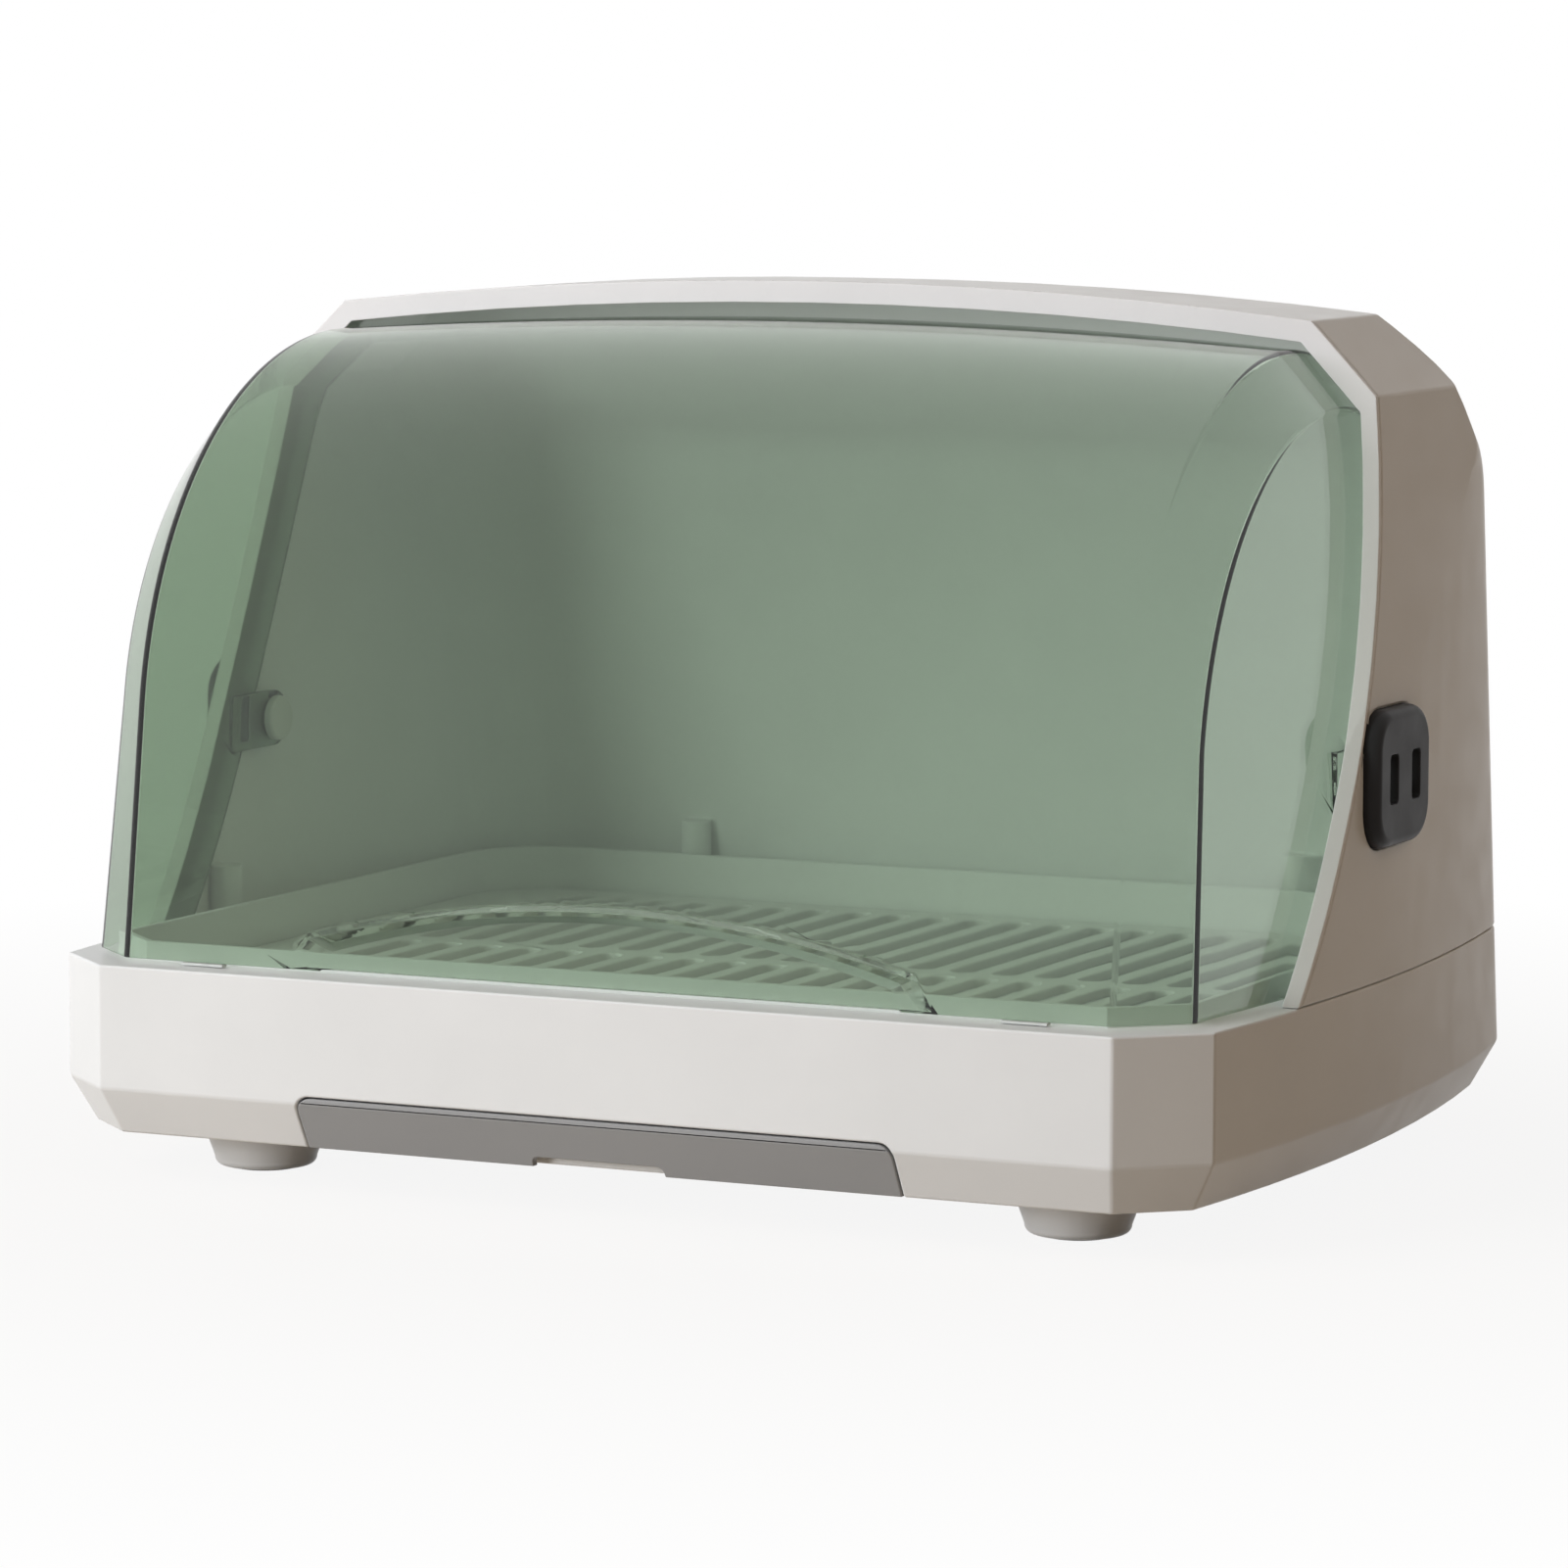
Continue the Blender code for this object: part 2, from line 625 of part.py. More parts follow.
def rear_stations(wall):
    """Height and rear place of the hood's back: a leaning line, a steep slope over the
    visor's path and the flat top, with a rounding at each bend."""
    rear_rim = FRONT_Y + RIM_DEPTH
    bend_height = RIM_Z + HOOD_HEIGHT * REAR_BEND_HEIGHT_SHARE
    bend_y = rear_rim - (bend_height - RIM_Z) * math.tan(REAR_LEAN)
    top_y = FRONT_Y + EDGE_TOP + (RIM_DEPTH - EDGE_TOP) * REAR_FLAT_SHARE
    slope = math.atan2(bend_y - top_y, HOOD_TOP_Z - bend_height)
    stations = [(HOOD_FOOT_Z, rear_rim - SEAT_GAP * math.tan(REAR_LEAN))]
    bends = ((bend_y, bend_height, REAR_BEND_RADIUS, REAR_LEAN, slope),
             (top_y, HOOD_TOP_Z, REAR_TOP_RADIUS, slope, math.pi / 2))
    for y, z, radius, start, end in bends:
        middle, half_turn = (start + end) / 2, (end - start) / 2
        centre_y = y - radius / math.cos(half_turn) * math.cos(middle)
        centre_z = z - radius / math.cos(half_turn) * math.sin(middle)
        for i in range(REAR_ROUNDING_STEPS + 1):
            a = start + (end - start) * i / REAR_ROUNDING_STEPS
            stations.append((centre_z + (radius - wall) * math.sin(a),
                             centre_y + (radius - wall) * math.cos(a) + wall))
    return stations


def hood_front_view(side_wall, top_wall):
    """Front view of the hood, open downwards: straight sides that lean in, 45 degree
    chamfers and a crowned top, moved inwards by the walls."""
    right = [(BODY_HALF + OVERRUN, HOOD_FOOT_Z - OVERRUN), (BODY_HALF + OVERRUN, bend_z()),
             (BODY_HALF, bend_z())]
    for i in range(1, LEAN_STEPS + 1):
        t = i / LEAN_STEPS
        right.append((BODY_HALF - HOOD_LEAN_IN * t * t, bend_z() + (SIDE_FOLD_Z - bend_z()) * t))
    crown_radius = (TOP_FOLD_HALF ** 2 + HOOD_CROWN ** 2) / (2 * HOOD_CROWN)
    for i in range(CROWN_STEPS // 2):
        x = TOP_FOLD_HALF * (1 - 2 * i / CROWN_STEPS)
        drop = crown_radius - math.sqrt(crown_radius ** 2 - x * x)
        right.append((x, HOOD_TOP_Z - drop))
    middle = [(0.0, HOOD_TOP_Z)]
    outline = right + middle + [(-x, z) for x, z in reversed(right)]
    side_count = 2 + LEAN_STEPS
    top_count = 2 + CROWN_STEPS
    distances = [0.0, 0.0] + [side_wall] * (side_count - 2) + [top_wall] * top_count
    distances += [side_wall] * (side_count - 2) + [0.0, 0.0, 0.0]
    return offset_outline(outline, distances[:len(outline)])


def bend_z():
    return HOOD_FOOT_Z + HOOD_BEND_ABOVE_RIM


def hood_solid(name, side_wall, top_wall, below, material=None):
    """The hood's outer form, or its inside when walls are given, still whole at the front."""
    rings = []
    stations = rear_stations(top_wall)
    first_z, first_y = stations[0]
    stations[0] = (first_z - below, first_y + below * math.tan(REAR_LEAN))
    last_z, last_y = stations[-1]
    for z, rear_y in stations + [(last_z + OVERRUN, last_y)]:
        rings.append([(x, y, z) for x, y in inset(body_plan(rear_y), side_wall)])
    solid = loft(name, rings, material)
    view = hood_front_view(side_wall, top_wall)
    return common(solid, front_prism("view", view, FRONT_Y - OVERRUN,
                                     FRONT_Y + BODY_DEPTH + OVERRUN))


def edge_curve(shift):
    """Side view of the hood's front edge, from below the rim to above the top."""
    knots = [(PIVOT_BEHIND_FRONT * back, HOOD_HEIGHT * up) for back, up in EDGE_SHARES]
    points = []
    for i in range(EDGE_STEPS + 1):
        t = i / EDGE_STEPS
        weights = ((1 - t) ** 3, 3 * (1 - t) ** 2 * t, 3 * (1 - t) * t ** 2, t ** 3)
        y = sum(w * k[0] for w, k in zip(weights, knots))
        z = sum(w * k[1] for w, k in zip(weights, knots))
        points.append((FRONT_Y + y + shift, HOOD_FOOT_Z + z))
    first, second = points[0], points[1]
    slope = (second[0] - first[0]) / (second[1] - first[1])
    start = (first[0] - slope * OVERRUN, first[1] - OVERRUN)
    end = (points[-1][0], points[-1][1] + OVERRUN)
    return [start] + points + [end]


def edge_y(z):
    """Place of the hood's front edge at a height."""
    points = edge_curve(0.0)
    for (y0, z0), (y1, z1) in zip(points, points[1:]):
        if z <= z1:
            break
    return y0 + (y1 - y0) * (z - z0) / (z1 - z0)


def ahead_of_edge(shift):
    """All that lies in front of the hood's edge moved back by a shift."""
    curve = edge_curve(shift)
    far = FRONT_Y - OVERRUN * 2
    outline = curve + [(far, curve[-1][1]), (far, curve[0][1])]
    wide = BODY_HALF + OVERRUN * 2
    return side_prism("ahead", outline, -wide, wide)


def behind_edge(shift):
    """All that lies behind the hood's edge moved back by a shift."""
    curve = edge_curve(shift)
    far = FRONT_Y + BODY_DEPTH + OVERRUN * 2
    outline = curve + [(far, curve[-1][1]), (far, curve[0][1])]
    wide = BODY_HALF + OVERRUN * 2
    return side_prism("behind", outline, -wide, wide)


def make_hood(material):
    hood = hood_solid("hood_shell", 0.0, 0.0, 0.0, material)
    cut(hood, hood_solid("room", HOOD_WALL, HOOD_WALL, OVERRUN))
    cut(hood, ahead_of_edge(FRAME_PLATE + SEAT_GAP))
    for x, y in screw_places():
        boss = turned("boss", [(SCREW_BOSS_RADIUS, HOOD_FOOT_Z + SEAT_GAP),
                               (SCREW_BOSS_RADIUS, HOOD_FOOT_Z + SCREW_BOSS_HEIGHT)], SCREW_STEPS)
        fuse(hood, move(boss, x, y, 0.0))
        bore_top = HOOD_FOOT_Z + SCREW_SHANK_LENGTH
        bore = turned("bore", [(SCREW_SHANK_RADIUS + BORE_GAP, RIM_Z - OVERRUN),
                               (SCREW_SHANK_RADIUS + BORE_GAP, bore_top)], SCREW_STEPS)
        cut(hood, move(bore, x, y, 0.0))
    for side in (-1, 1):
        fuse_pivot_boss(hood, side)
        cut_cap_pocket(hood, side)
    return smooth(hood)


def hood_half_at(y):
    """Half width of the hood's side at a place along its depth, below the bend."""
    bow_y = FRONT_Y + BULGE_BEHIND_FRONT
    start_y = FRONT_Y + CHAMFER_Y
    bow_radius = ((bow_y - start_y) ** 2 + SIDE_BULGE ** 2) / (2 * SIDE_BULGE)
    return BODY_HALF - bow_radius + math.sqrt(bow_radius ** 2 - (y - bow_y) ** 2)


def visor_half_at(z):
    """Half width of the visor at the fold's rear edge at a height: it leans in up to the
    straight part's end."""
    _, top_z = tangent_point()
    t = min(1.0, max(0.0, (z - VISOR_FOOT_Z) / (top_z - VISOR_FOOT_Z)))
    return VISOR_FOOT_HALF + (VISOR_TOP_HALF - VISOR_FOOT_HALF) * t


def visor_rear_half(z):
    """Half width of the side wall's rear edge at a height, just inside the hood's frame."""
    up = min(1.0, max(0.0, (z - bend_z()) / (SIDE_FOLD_Z - bend_z())))
    frame_half = hood_half_at(edge_y(z)) - HOOD_LEAN_IN * up * up - FRAME_SIDE_FACE
    return frame_half - VISOR_FRAME_CLEAR


def lug_outer():
    return visor_rear_half(PIVOT_Z) + SEAT_GAP


def boss_face():
    return lug_outer() + SEAT_GAP + WASHER_THICKNESS + SEAT_GAP


def fuse_pivot_boss(hood, side):
    wall_x = hood_half_at(PIVOT_Y) - HOOD_WALL / 2
    boss = rod_along_x("pivot_boss", (PIVOT_Y, PIVOT_Z),
                       [(PIVOT_BOSS_RADIUS, side * boss_face()), (PIVOT_BOSS_RADIUS, side * wall_x)],
                       PIVOT_STEPS)
    fuse(hood, boss)
    bore = rod_along_x("pivot_bore", (PIVOT_Y, PIVOT_Z),
                       [(PIN_RADIUS + BORE_GAP, side * (boss_face() - SEAT_GAP)),
                        (PIN_RADIUS + BORE_GAP, side * (BODY_HALF + OVERRUN))], PIVOT_STEPS)
    cut(hood, bore)


def cap_outline(grow):
    return round_rect(CAP_LENGTH / 2 + grow, CAP_HEIGHT / 2 + grow, CAP_RADIUS + grow,
                      CAP_CORNER_STEPS, (PIVOT_Y, PIVOT_Z))


def slot_outline(index):
    y = PIVOT_Y + (index - 0.5) * SLOT_PITCH
    return round_rect(SLOT_WIDTH / 2, SLOT_HEIGHT / 2, SLOT_RADIUS, CAP_CORNER_STEPS, (y, PIVOT_Z))


def cap_seat_x():
    """The floor of the cap's pocket, below the lowest place of the bowed side there."""
    edge = PIVOT_Y + CAP_LENGTH / 2
    return min(hood_half_at(edge), hood_half_at(PIVOT_Y - CAP_LENGTH / 2)) - CAP_POCKET


def cut_cap_pocket(hood, side):
    seat = side * cap_seat_x()
    out = side * (BODY_HALF + OVERRUN)
    cut(hood, side_prism("pocket", cap_outline(SEAT_GAP), min(seat, out), max(seat, out)))
    for index in range(2):
        inner = side * (BODY_HALF - OVERRUN / 2)
        cut(hood, side_prism("vent", slot_outline(index), min(inner, out), max(inner, out)))


def make_frame(material):
    """The frame in the hood's front edge: a thin face plate with a leg inside the hood."""
    frame = hood_solid("hood_front_frame", 0.0, 0.0, 0.0, material)
    leg_gap = HOOD_WALL + SEAT_GAP
    leg = hood_solid("leg", leg_gap, leg_gap, 0.0)
    for ring, front, back in ((frame, 0.0, FRAME_PLATE), (leg, FRAME_PLATE / 2, FRAME_LEG)):
        cut(ring, behind_edge(back))
        cut(ring, hood_solid("window", FRAME_SIDE_FACE, FRAME_TOP_FACE, OVERRUN))
        cut(ring, ahead_of_edge(front))
    fuse(frame, leg)
    return smooth(frame)


# Side caps and pivots

def make_cap(name, material):
    """A rounded cap with two vent slots, seated in the hood's side."""
    back = cap_seat_x() + SEAT_GAP
    face = BODY_HALF + CAP_STAND_OUT
    rings = []
    steps = CAP_CORNER_STEPS // 2
    shoulder = back + (face - back) * CAP_SHOULDER_SHARE
    rings.append([(back, y, z) for y, z in cap_outline(0.0)])
    for i in range(steps + 1):
        a = math.pi / 2 * i / steps
        x = shoulder + (face - shoulder) * math.sin(a)
        rings.append([(x, y, z) for y, z in cap_outline(-CAP_DRAFT * (1 - math.cos(a)))])
    cap = loft(name, rings, material)
    for index in range(2):
        cut(cap, side_prism("slot", slot_outline(index), back - OVERRUN, face + OVERRUN))
    return smooth(cap)


def make_pin(name, material):
    """A headed pin: its head is inside the visor, its shank goes through the hood's boss
    and ends under the cap."""
    head_out = visor_rear_half(PIVOT_Z) - VISOR_WALL - SEAT_GAP * 2
    head_in = head_out - PIN_HEAD_THICKNESS
    profile = [(PIN_HEAD_RADIUS - PIN_HEAD_ROUNDING, head_in),
               (PIN_HEAD_RADIUS, head_in + PIN_HEAD_ROUNDING),
               (PIN_HEAD_RADIUS, head_out), (PIN_RADIUS, head_out),
               (PIN_RADIUS, cap_seat_x() - SEAT_GAP)]
    return smooth(rod_along_x(name, (PIVOT_Y, PIVOT_Z), profile, PIVOT_STEPS, material))


def make_washer(name, material):
    low = lug_outer() + SEAT_GAP
    washer = rod_along_x(name, (PIVOT_Y, PIVOT_Z),
                         [(WASHER_RADIUS, low), (WASHER_RADIUS, low + WASHER_THICKNESS)],
                         PIVOT_STEPS, material)
    cut(washer, rod_along_x("washer_bore", (PIVOT_Y, PIVOT_Z),
                            [(PIN_RADIUS + BORE_GAP, low - OVERRUN),
                             (PIN_RADIUS + BORE_GAP, low + OVERRUN)], PIVOT_STEPS))
    return smooth(washer)


# Visor

def tangent_point():
    """Where the visor's straight front meets its arc, as Y and Z."""
    dy = FRONT_Y + VISOR_FRONT_LEDGE - PIVOT_Y
    dz = VISOR_FOOT_Z - PIVOT_Z
    distance = math.hypot(dy, dz)
    below = math.atan2(-dz, -dy)
    lift = math.acos(VISOR_RADIUS / distance) - below
    return (PIVOT_Y - VISOR_RADIUS * math.cos(lift), PIVOT_Z + VISOR_RADIUS * math.sin(lift))


def visor_stations():
    """Points of the front fold in side view from foot to top, each with its outward
    direction and how far round the arc it is."""
    tangent_y, tangent_z = tangent_point()
    foot_y = FRONT_Y + VISOR_FRONT_LEDGE
    lift = math.asin((tangent_z - PIVOT_Z) / VISOR_RADIUS)
    out = (-math.cos(lift), math.sin(lift))
    stations = []
    for i in range(VISOR_STRAIGHT_STEPS):
        t = i / VISOR_STRAIGHT_STEPS
        point = (foot_y + (tangent_y - foot_y) * t, VISOR_FOOT_Z + (tangent_z - VISOR_FOOT_Z) * t)
        stations.append((point, out, 0.0))
    end = math.pi / 2 + VISOR_PAST_TOP
    for i in range(VISOR_ARC_STEPS + 1):
        t = i / VISOR_ARC_STEPS
        a = lift + (end - lift) * t
        out = (-math.cos(a), math.sin(a))
        stations.append(((PIVOT_Y + VISOR_RADIUS * out[0], PIVOT_Z + VISOR_RADIUS * out[1]), out, t))
    return stations


def visor_grid(wall):
    """Rows of points across the visor, moved inwards by a wall, from one side wall's rear
    edge to the other's."""
    stations = visor_stations()
    last = len(stations) - 1
    (end_y, end_z), (out_y, out_z), _ = stations[last]
    side_top_z = end_z - VISOR_FOLD_DEPTH * out_z - VISOR_SIDE_END
    fold_turn = math.atan2(VISOR_FOLD_DEPTH, VISOR_FOOT_HALF - VISOR_FOLD_HALF)
    front_pull = wall * math.tan((math.pi / 2 - fold_turn) / 2)
    side_pull = wall * math.tan(fold_turn / 2)
    rows = []
    for index, ((y, z), (oy, oz), t) in enumerate(stations):
        share = index / last
        rear_z = VISOR_FOOT_Z + (side_top_z - VISOR_FOOT_Z) * share
        rear_y = edge_y(rear_z) + VISOR_SIDE_LAP
        depth = VISOR_FOLD_DEPTH
        side_y, side_z = y - oy * depth, z - oz * depth
        if index == 0:
            side_z = VISOR_FOOT_Z
        side_x = visor_half_at(side_z) - wall
        inner_y, inner_z = side_y - oy * side_pull, side_z - oz * side_pull
        if index == 0:
            inner_z = VISOR_FOOT_Z
        right = [(visor_rear_half(rear_z) - wall, rear_y, rear_z), (side_x, inner_y, inner_z)]
        fold_x = VISOR_FOLD_HALF - front_pull
        for i in range(VISOR_CROSS_STEPS // 2):
            x = fold_x * (1 - 2 * i / VISOR_CROSS_STEPS)
            rise = VISOR_CROWN * t * (1 - (x / fold_x) ** 2) - wall
            point_z = VISOR_FOOT_Z if index == 0 else z + oz * rise
            right.append((x, y + oy * rise, point_z))
        rise = VISOR_CROWN * t - wall
        middle_z = VISOR_FOOT_Z if index == 0 else z + oz * rise
        middle = [(0.0, y + oy * rise, middle_z)]
        rows.append(right + middle + [(-px, py, pz) for px, py, pz in reversed(right)])
    return rows


def arch_points(grow, side_in, top_in):
    """Front view of the finger recess, open at the visor's foot, as X and Z."""
    half = ARCH_HALF - side_in + grow
    shoulder = ARCH_SHOULDER_HALF - side_in + grow
    shoulder_z = VISOR_FOOT_Z + ARCH_SHOULDER_HEIGHT - top_in + grow
    top_z = VISOR_FOOT_Z + ARCH_HEIGHT - top_in + grow
    rise = top_z - shoulder_z
    radius = (shoulder ** 2 + rise ** 2) / (2 * rise)
    points = [(-half, VISOR_FOOT_Z), (half, VISOR_FOOT_Z)]
    for i in range(ARCH_STEPS + 1):
        x = shoulder * (1 - 2 * i / ARCH_STEPS)
        points.append((x, top_z - radius + math.sqrt(radius ** 2 - x * x)))
    return points


def visor_front_y(z):
    """The straight front face of the visor at a height."""
    tangent_y, tangent_z = tangent_point()
    foot_y = FRONT_Y + VISOR_FRONT_LEDGE
    return foot_y + (tangent_y - foot_y) * (z - VISOR_FOOT_Z) / (tangent_z - VISOR_FOOT_Z)


def arch_body(name, grow, near, far, below):
    """A dished block on the arch: its outline narrows from the front face to the floor."""
    rings = []
    for depth, side_in, top_in in ((near, 0.0, 0.0), (far, ARCH_BORDER_SIDE, ARCH_BORDER_TOP)):
        ring = []
        for x, z in arch_points(grow, side_in, top_in):
            if z <= VISOR_FOOT_Z:
                z = VISOR_FOOT_Z - below
            ring.append((x, visor_front_y(z) + depth, z))
        rings.append(ring)
    return loft(name, rings)


def make_visor(material):
    outer = visor_grid(0.0)
    inner = visor_grid(VISOR_WALL)
    rows, width = len(outer), len(outer[0])
    verts = [p for row in outer for p in row] + [p for row in inner for p in row]
    base = rows * width
    faces = []
    for r in range(rows - 1):
        for c in range(width - 1):
            a, b = r * width + c, (r + 1) * width + c
            faces.append((a, a + 1, b + 1, b))
            faces.append((base + a, base + b, base + b + 1, base + a + 1))
    for c in range(width - 1):
        low, high = c, (rows - 1) * width + c
        faces.append((low + 1, low, base + low, base + low + 1))
        faces.append((high, high + 1, base + high + 1, base + high))
    for r in range(rows - 1):
        left, right = r * width, r * width + width - 1
        faces.append((left, left + width, base + left + width, base + left))
        faces.append((right + width, right, base + right, base + right + width))
    visor = make_object("visor", verts, faces, material)

    for side in (-1, 1):
        low = side * (visor_rear_half(PIVOT_Z) - VISOR_WALL - SEAT_GAP)
        high = side * lug_outer()
        lug = [(PIVOT_Y - LUG_REACH, PIVOT_Z + LUG_RADIUS), (PIVOT_Y - LUG_REACH, PIVOT_Z - LUG_RADIUS)]
        for i in range(PIVOT_STEPS // 2 + 1):
            a = -math.pi / 2 + math.pi * 2 * i / PIVOT_STEPS
            lug.append((PIVOT_Y + LUG_RADIUS * math.cos(a), PIVOT_Z + LUG_RADIUS * math.sin(a)))
        fuse(visor, side_prism("lug", lug, min(low, high), max(low, high)))
        bore = rod_along_x("bore", (PIVOT_Y, PIVOT_Z),
                           [(PIN_RADIUS + BORE_GAP, side * (VISOR_FOOT_HALF - OVERRUN)),
                            (PIN_RADIUS + BORE_GAP, side * (VISOR_FOOT_HALF + OVERRUN))],
                           PIVOT_STEPS)
        cut(visor, bore)
    floor = ARCH_DEPTH + VISOR_WALL
    fuse(visor, arch_body("arch_wall", VISOR_WALL, VISOR_WALL / 2, floor, 0.0))
    cut(visor, arch_body("arch_cut", 0.0, -SEAT_GAP, ARCH_DEPTH, OVERRUN))
    return smooth(visor, math.radians(12.0))


# Drain rack

def make_rack(material):
    """A flat slatted rack that lifts out of the well."""
    outline = inset(well_plan(), LIP_WALL + SEAT_GAP * 3)
    low_z = SHELF_Z + SEAT_GAP
    rack = plate("drain_rack", outline, low_z, low_z + RACK_THICKNESS, material)
    half = max(x for x, _ in outline) - RACK_BORDER
    front = min(y for _, y in outline) + RACK_BORDER
    rear = max(y for _, y in outline) - RACK_BORDER
    pitch = RACK_SLOT + RACK_BAR
    count = int((2 * (half - RACK_CORNER) + RACK_BAR) / pitch)
    row_length = (rear - front - (RACK_ROWS - 1) * RACK_CROSS_BAR) / RACK_ROWS
    cutters = []
    for row in range(RACK_ROWS):
        y = front + row_length / 2 + row * (row_length + RACK_CROSS_BAR)
        for i in range(count):
            x = (i - (count - 1) / 2) * pitch
            slot = round_rect(RACK_SLOT / 2, row_length / 2, RACK_SLOT / 2, RACK_SLOT_STEPS, (x, y))
            cutters.append(plate("slot", slot, low_z - RACK_THICKNESS, low_z + 2 * RACK_THICKNESS))
    joined = cutters[0]
    work = bmesh.new()
    for cutter in cutters:
        work.from_mesh(cutter.data)
    work.to_mesh(joined.data)
    work.free()
    for cutter in cutters[1:]:
        bpy.data.objects.remove(cutter, do_unlink=True)
    cut(rack, joined)
    return rack


# Screws and bumpers

def make_screw(name, x, y, material):
    """A pan head screw driven up through the ledge into the hood's boss."""
    seat = RIM_Z - TUB_WALL - SEAT_GAP
    profile = [(SCREW_HEAD_RADIUS, seat - SCREW_HEAD_THICKNESS), (SCREW_HEAD_RADIUS, seat),
               (SCREW_SHANK_RADIUS, seat),
               (SCREW_SHANK_RADIUS, HOOD_FOOT_Z + SCREW_SHANK_LENGTH - SEAT_GAP)]
    return smooth(move(turned(name, profile, SCREW_STEPS, material), x, y, 0.0))


def make_bumper(name, side, material):
    """A small soft bar on the ledge under the visor's foot."""
    y = visor_front_y(VISOR_FOOT_Z) + VISOR_WALL / 2
    x = side * (SHOULDER_HALF - BUMPER_FROM_SIDE)
    low_z = RIM_Z + SEAT_GAP
    high_z = VISOR_FOOT_Z - SEAT_GAP
    return block(name, (x - BUMPER_LENGTH / 2, y - BUMPER_WIDTH / 2, low_z),
                 (x + BUMPER_LENGTH / 2, y + BUMPER_WIDTH / 2, high_z), material)


def carry(name, place, pieces):
    """An empty on a joint's axis, with the pieces that move together parented to it."""
    empty = bpy.data.objects.new(name, None)
    bpy.context.scene.collection.objects.link(empty)
    empty.location = place
    for piece in pieces:
        move(piece, -place[0], -place[1], -place[2])
        piece.parent = empty
    return empty


def clear_scene():
    for piece in list(bpy.data.objects):
        bpy.data.objects.remove(piece, do_unlink=True)


def build():
    clear_scene()
    white = plastic("shell_white", (0.80, 0.79, 0.77), 0.35)
    frame_white = plastic("frame_white", (0.84, 0.83, 0.82), 0.30)
    grey = plastic("drawer_grey", (0.23, 0.23, 0.235), 0.45)
    tray_white = plastic("tray_white", (0.70, 0.70, 0.69), 0.40)
    rack_white = plastic("rack_white", (0.76, 0.76, 0.74), 0.40)
    charcoal = plastic("cap_charcoal", (0.035, 0.035, 0.037), 0.45)
    green = plastic("visor_green", (0.45, 0.62, 0.50), 0.08, 0.35)
    rubber = plastic("rubber_grey", (0.12, 0.12, 0.12), 0.85)
    pale_rubber = plastic("bumper_pale", (0.66, 0.68, 0.66), 0.60)
    nylon = plastic("nylon_white", (0.72, 0.72, 0.70), 0.40)
    steel = metal("screw_steel", (0.55, 0.55, 0.56), 0.35)

    fixed = [make_tub(white), make_well(white), make_hood(white), make_frame(frame_white)]
    visor = make_visor(green)
    drawer = [make_drawer_front(grey), make_tray(tray_white)]
    rack = make_rack(rack_white)
    fixed += [make_runner("drawer_runner_left", -1, nylon),
              make_runner("drawer_runner_right", 1, nylon)]

    makers = (("side_cap", make_cap, charcoal), ("pivot_pin", make_pin, nylon),
              ("pivot_washer", make_washer, nylon))
    for name, maker, material in makers:
        right = maker(f"{name}_right", material)
        fixed += [right, mirrored(f"{name}_left", right)]

    for row, y_sign in (("front", -1), ("rear", 1)):
        for side, x_sign in (("left", -1), ("right", 1)):
            x = x_sign * FOOT_X
            y = y_sign * (BODY_DEPTH / 2 - FOOT_INBOARD)
            fixed += [make_foot(f"foot_{row}_{side}", x, y, white),
                      make_pad(f"foot_pad_{row}_{side}", x, y, rubber)]
    names = ("side_left", "side_right", "rear_left", "rear_right")
    for name, (x, y) in zip(names, screw_places()):
        fixed.append(make_screw(f"hood_screw_{name}", x, y, steel))
    fixed += [make_bumper("visor_bumper_left", -1, pale_rubber),
              make_bumper("visor_bumper_right", 1, pale_rubber)]

    carry("housing_frame", (0.0, 0.0, 0.0), fixed)
    carry("visor_hinge", (0.0, PIVOT_Y, PIVOT_Z), [visor])
    carry("drawer_slide", (0.0, FRONT_Y, TUB_BOTTOM_Z), drawer)
    carry("rack_lift", (0.0, 0.0, SHELF_Z), [rack])


build()
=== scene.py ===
"""Finished look of a countertop cup drying box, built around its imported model.

The tub, hood, trim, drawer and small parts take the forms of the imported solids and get
moulded edges. The clear visor, the rack's slats, the feet and the screws are grown by
geometry nodes from named sizes. All sizes are in metres, with the front towards -Y.
"""
import contextlib
import math
import types

import bmesh
import bpy
from mathutils import Matrix, Vector


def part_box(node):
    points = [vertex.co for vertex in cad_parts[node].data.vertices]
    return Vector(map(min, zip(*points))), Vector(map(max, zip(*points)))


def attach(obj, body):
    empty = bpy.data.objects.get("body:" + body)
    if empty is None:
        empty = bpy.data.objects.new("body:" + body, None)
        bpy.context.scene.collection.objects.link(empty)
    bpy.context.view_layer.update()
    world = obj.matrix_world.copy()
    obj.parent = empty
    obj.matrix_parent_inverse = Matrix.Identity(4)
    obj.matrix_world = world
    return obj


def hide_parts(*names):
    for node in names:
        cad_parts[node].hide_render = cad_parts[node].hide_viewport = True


bl_info = {
    "name": "Cup Drying Box",
    "version": (1, 0, 0),
    "blender": (4, 5, 0),
    "location": "3D View > Sidebar > Drying Box",
    "description": "Builds the finished look of a cup drying box around its packed model",
    "category": "Object",
}

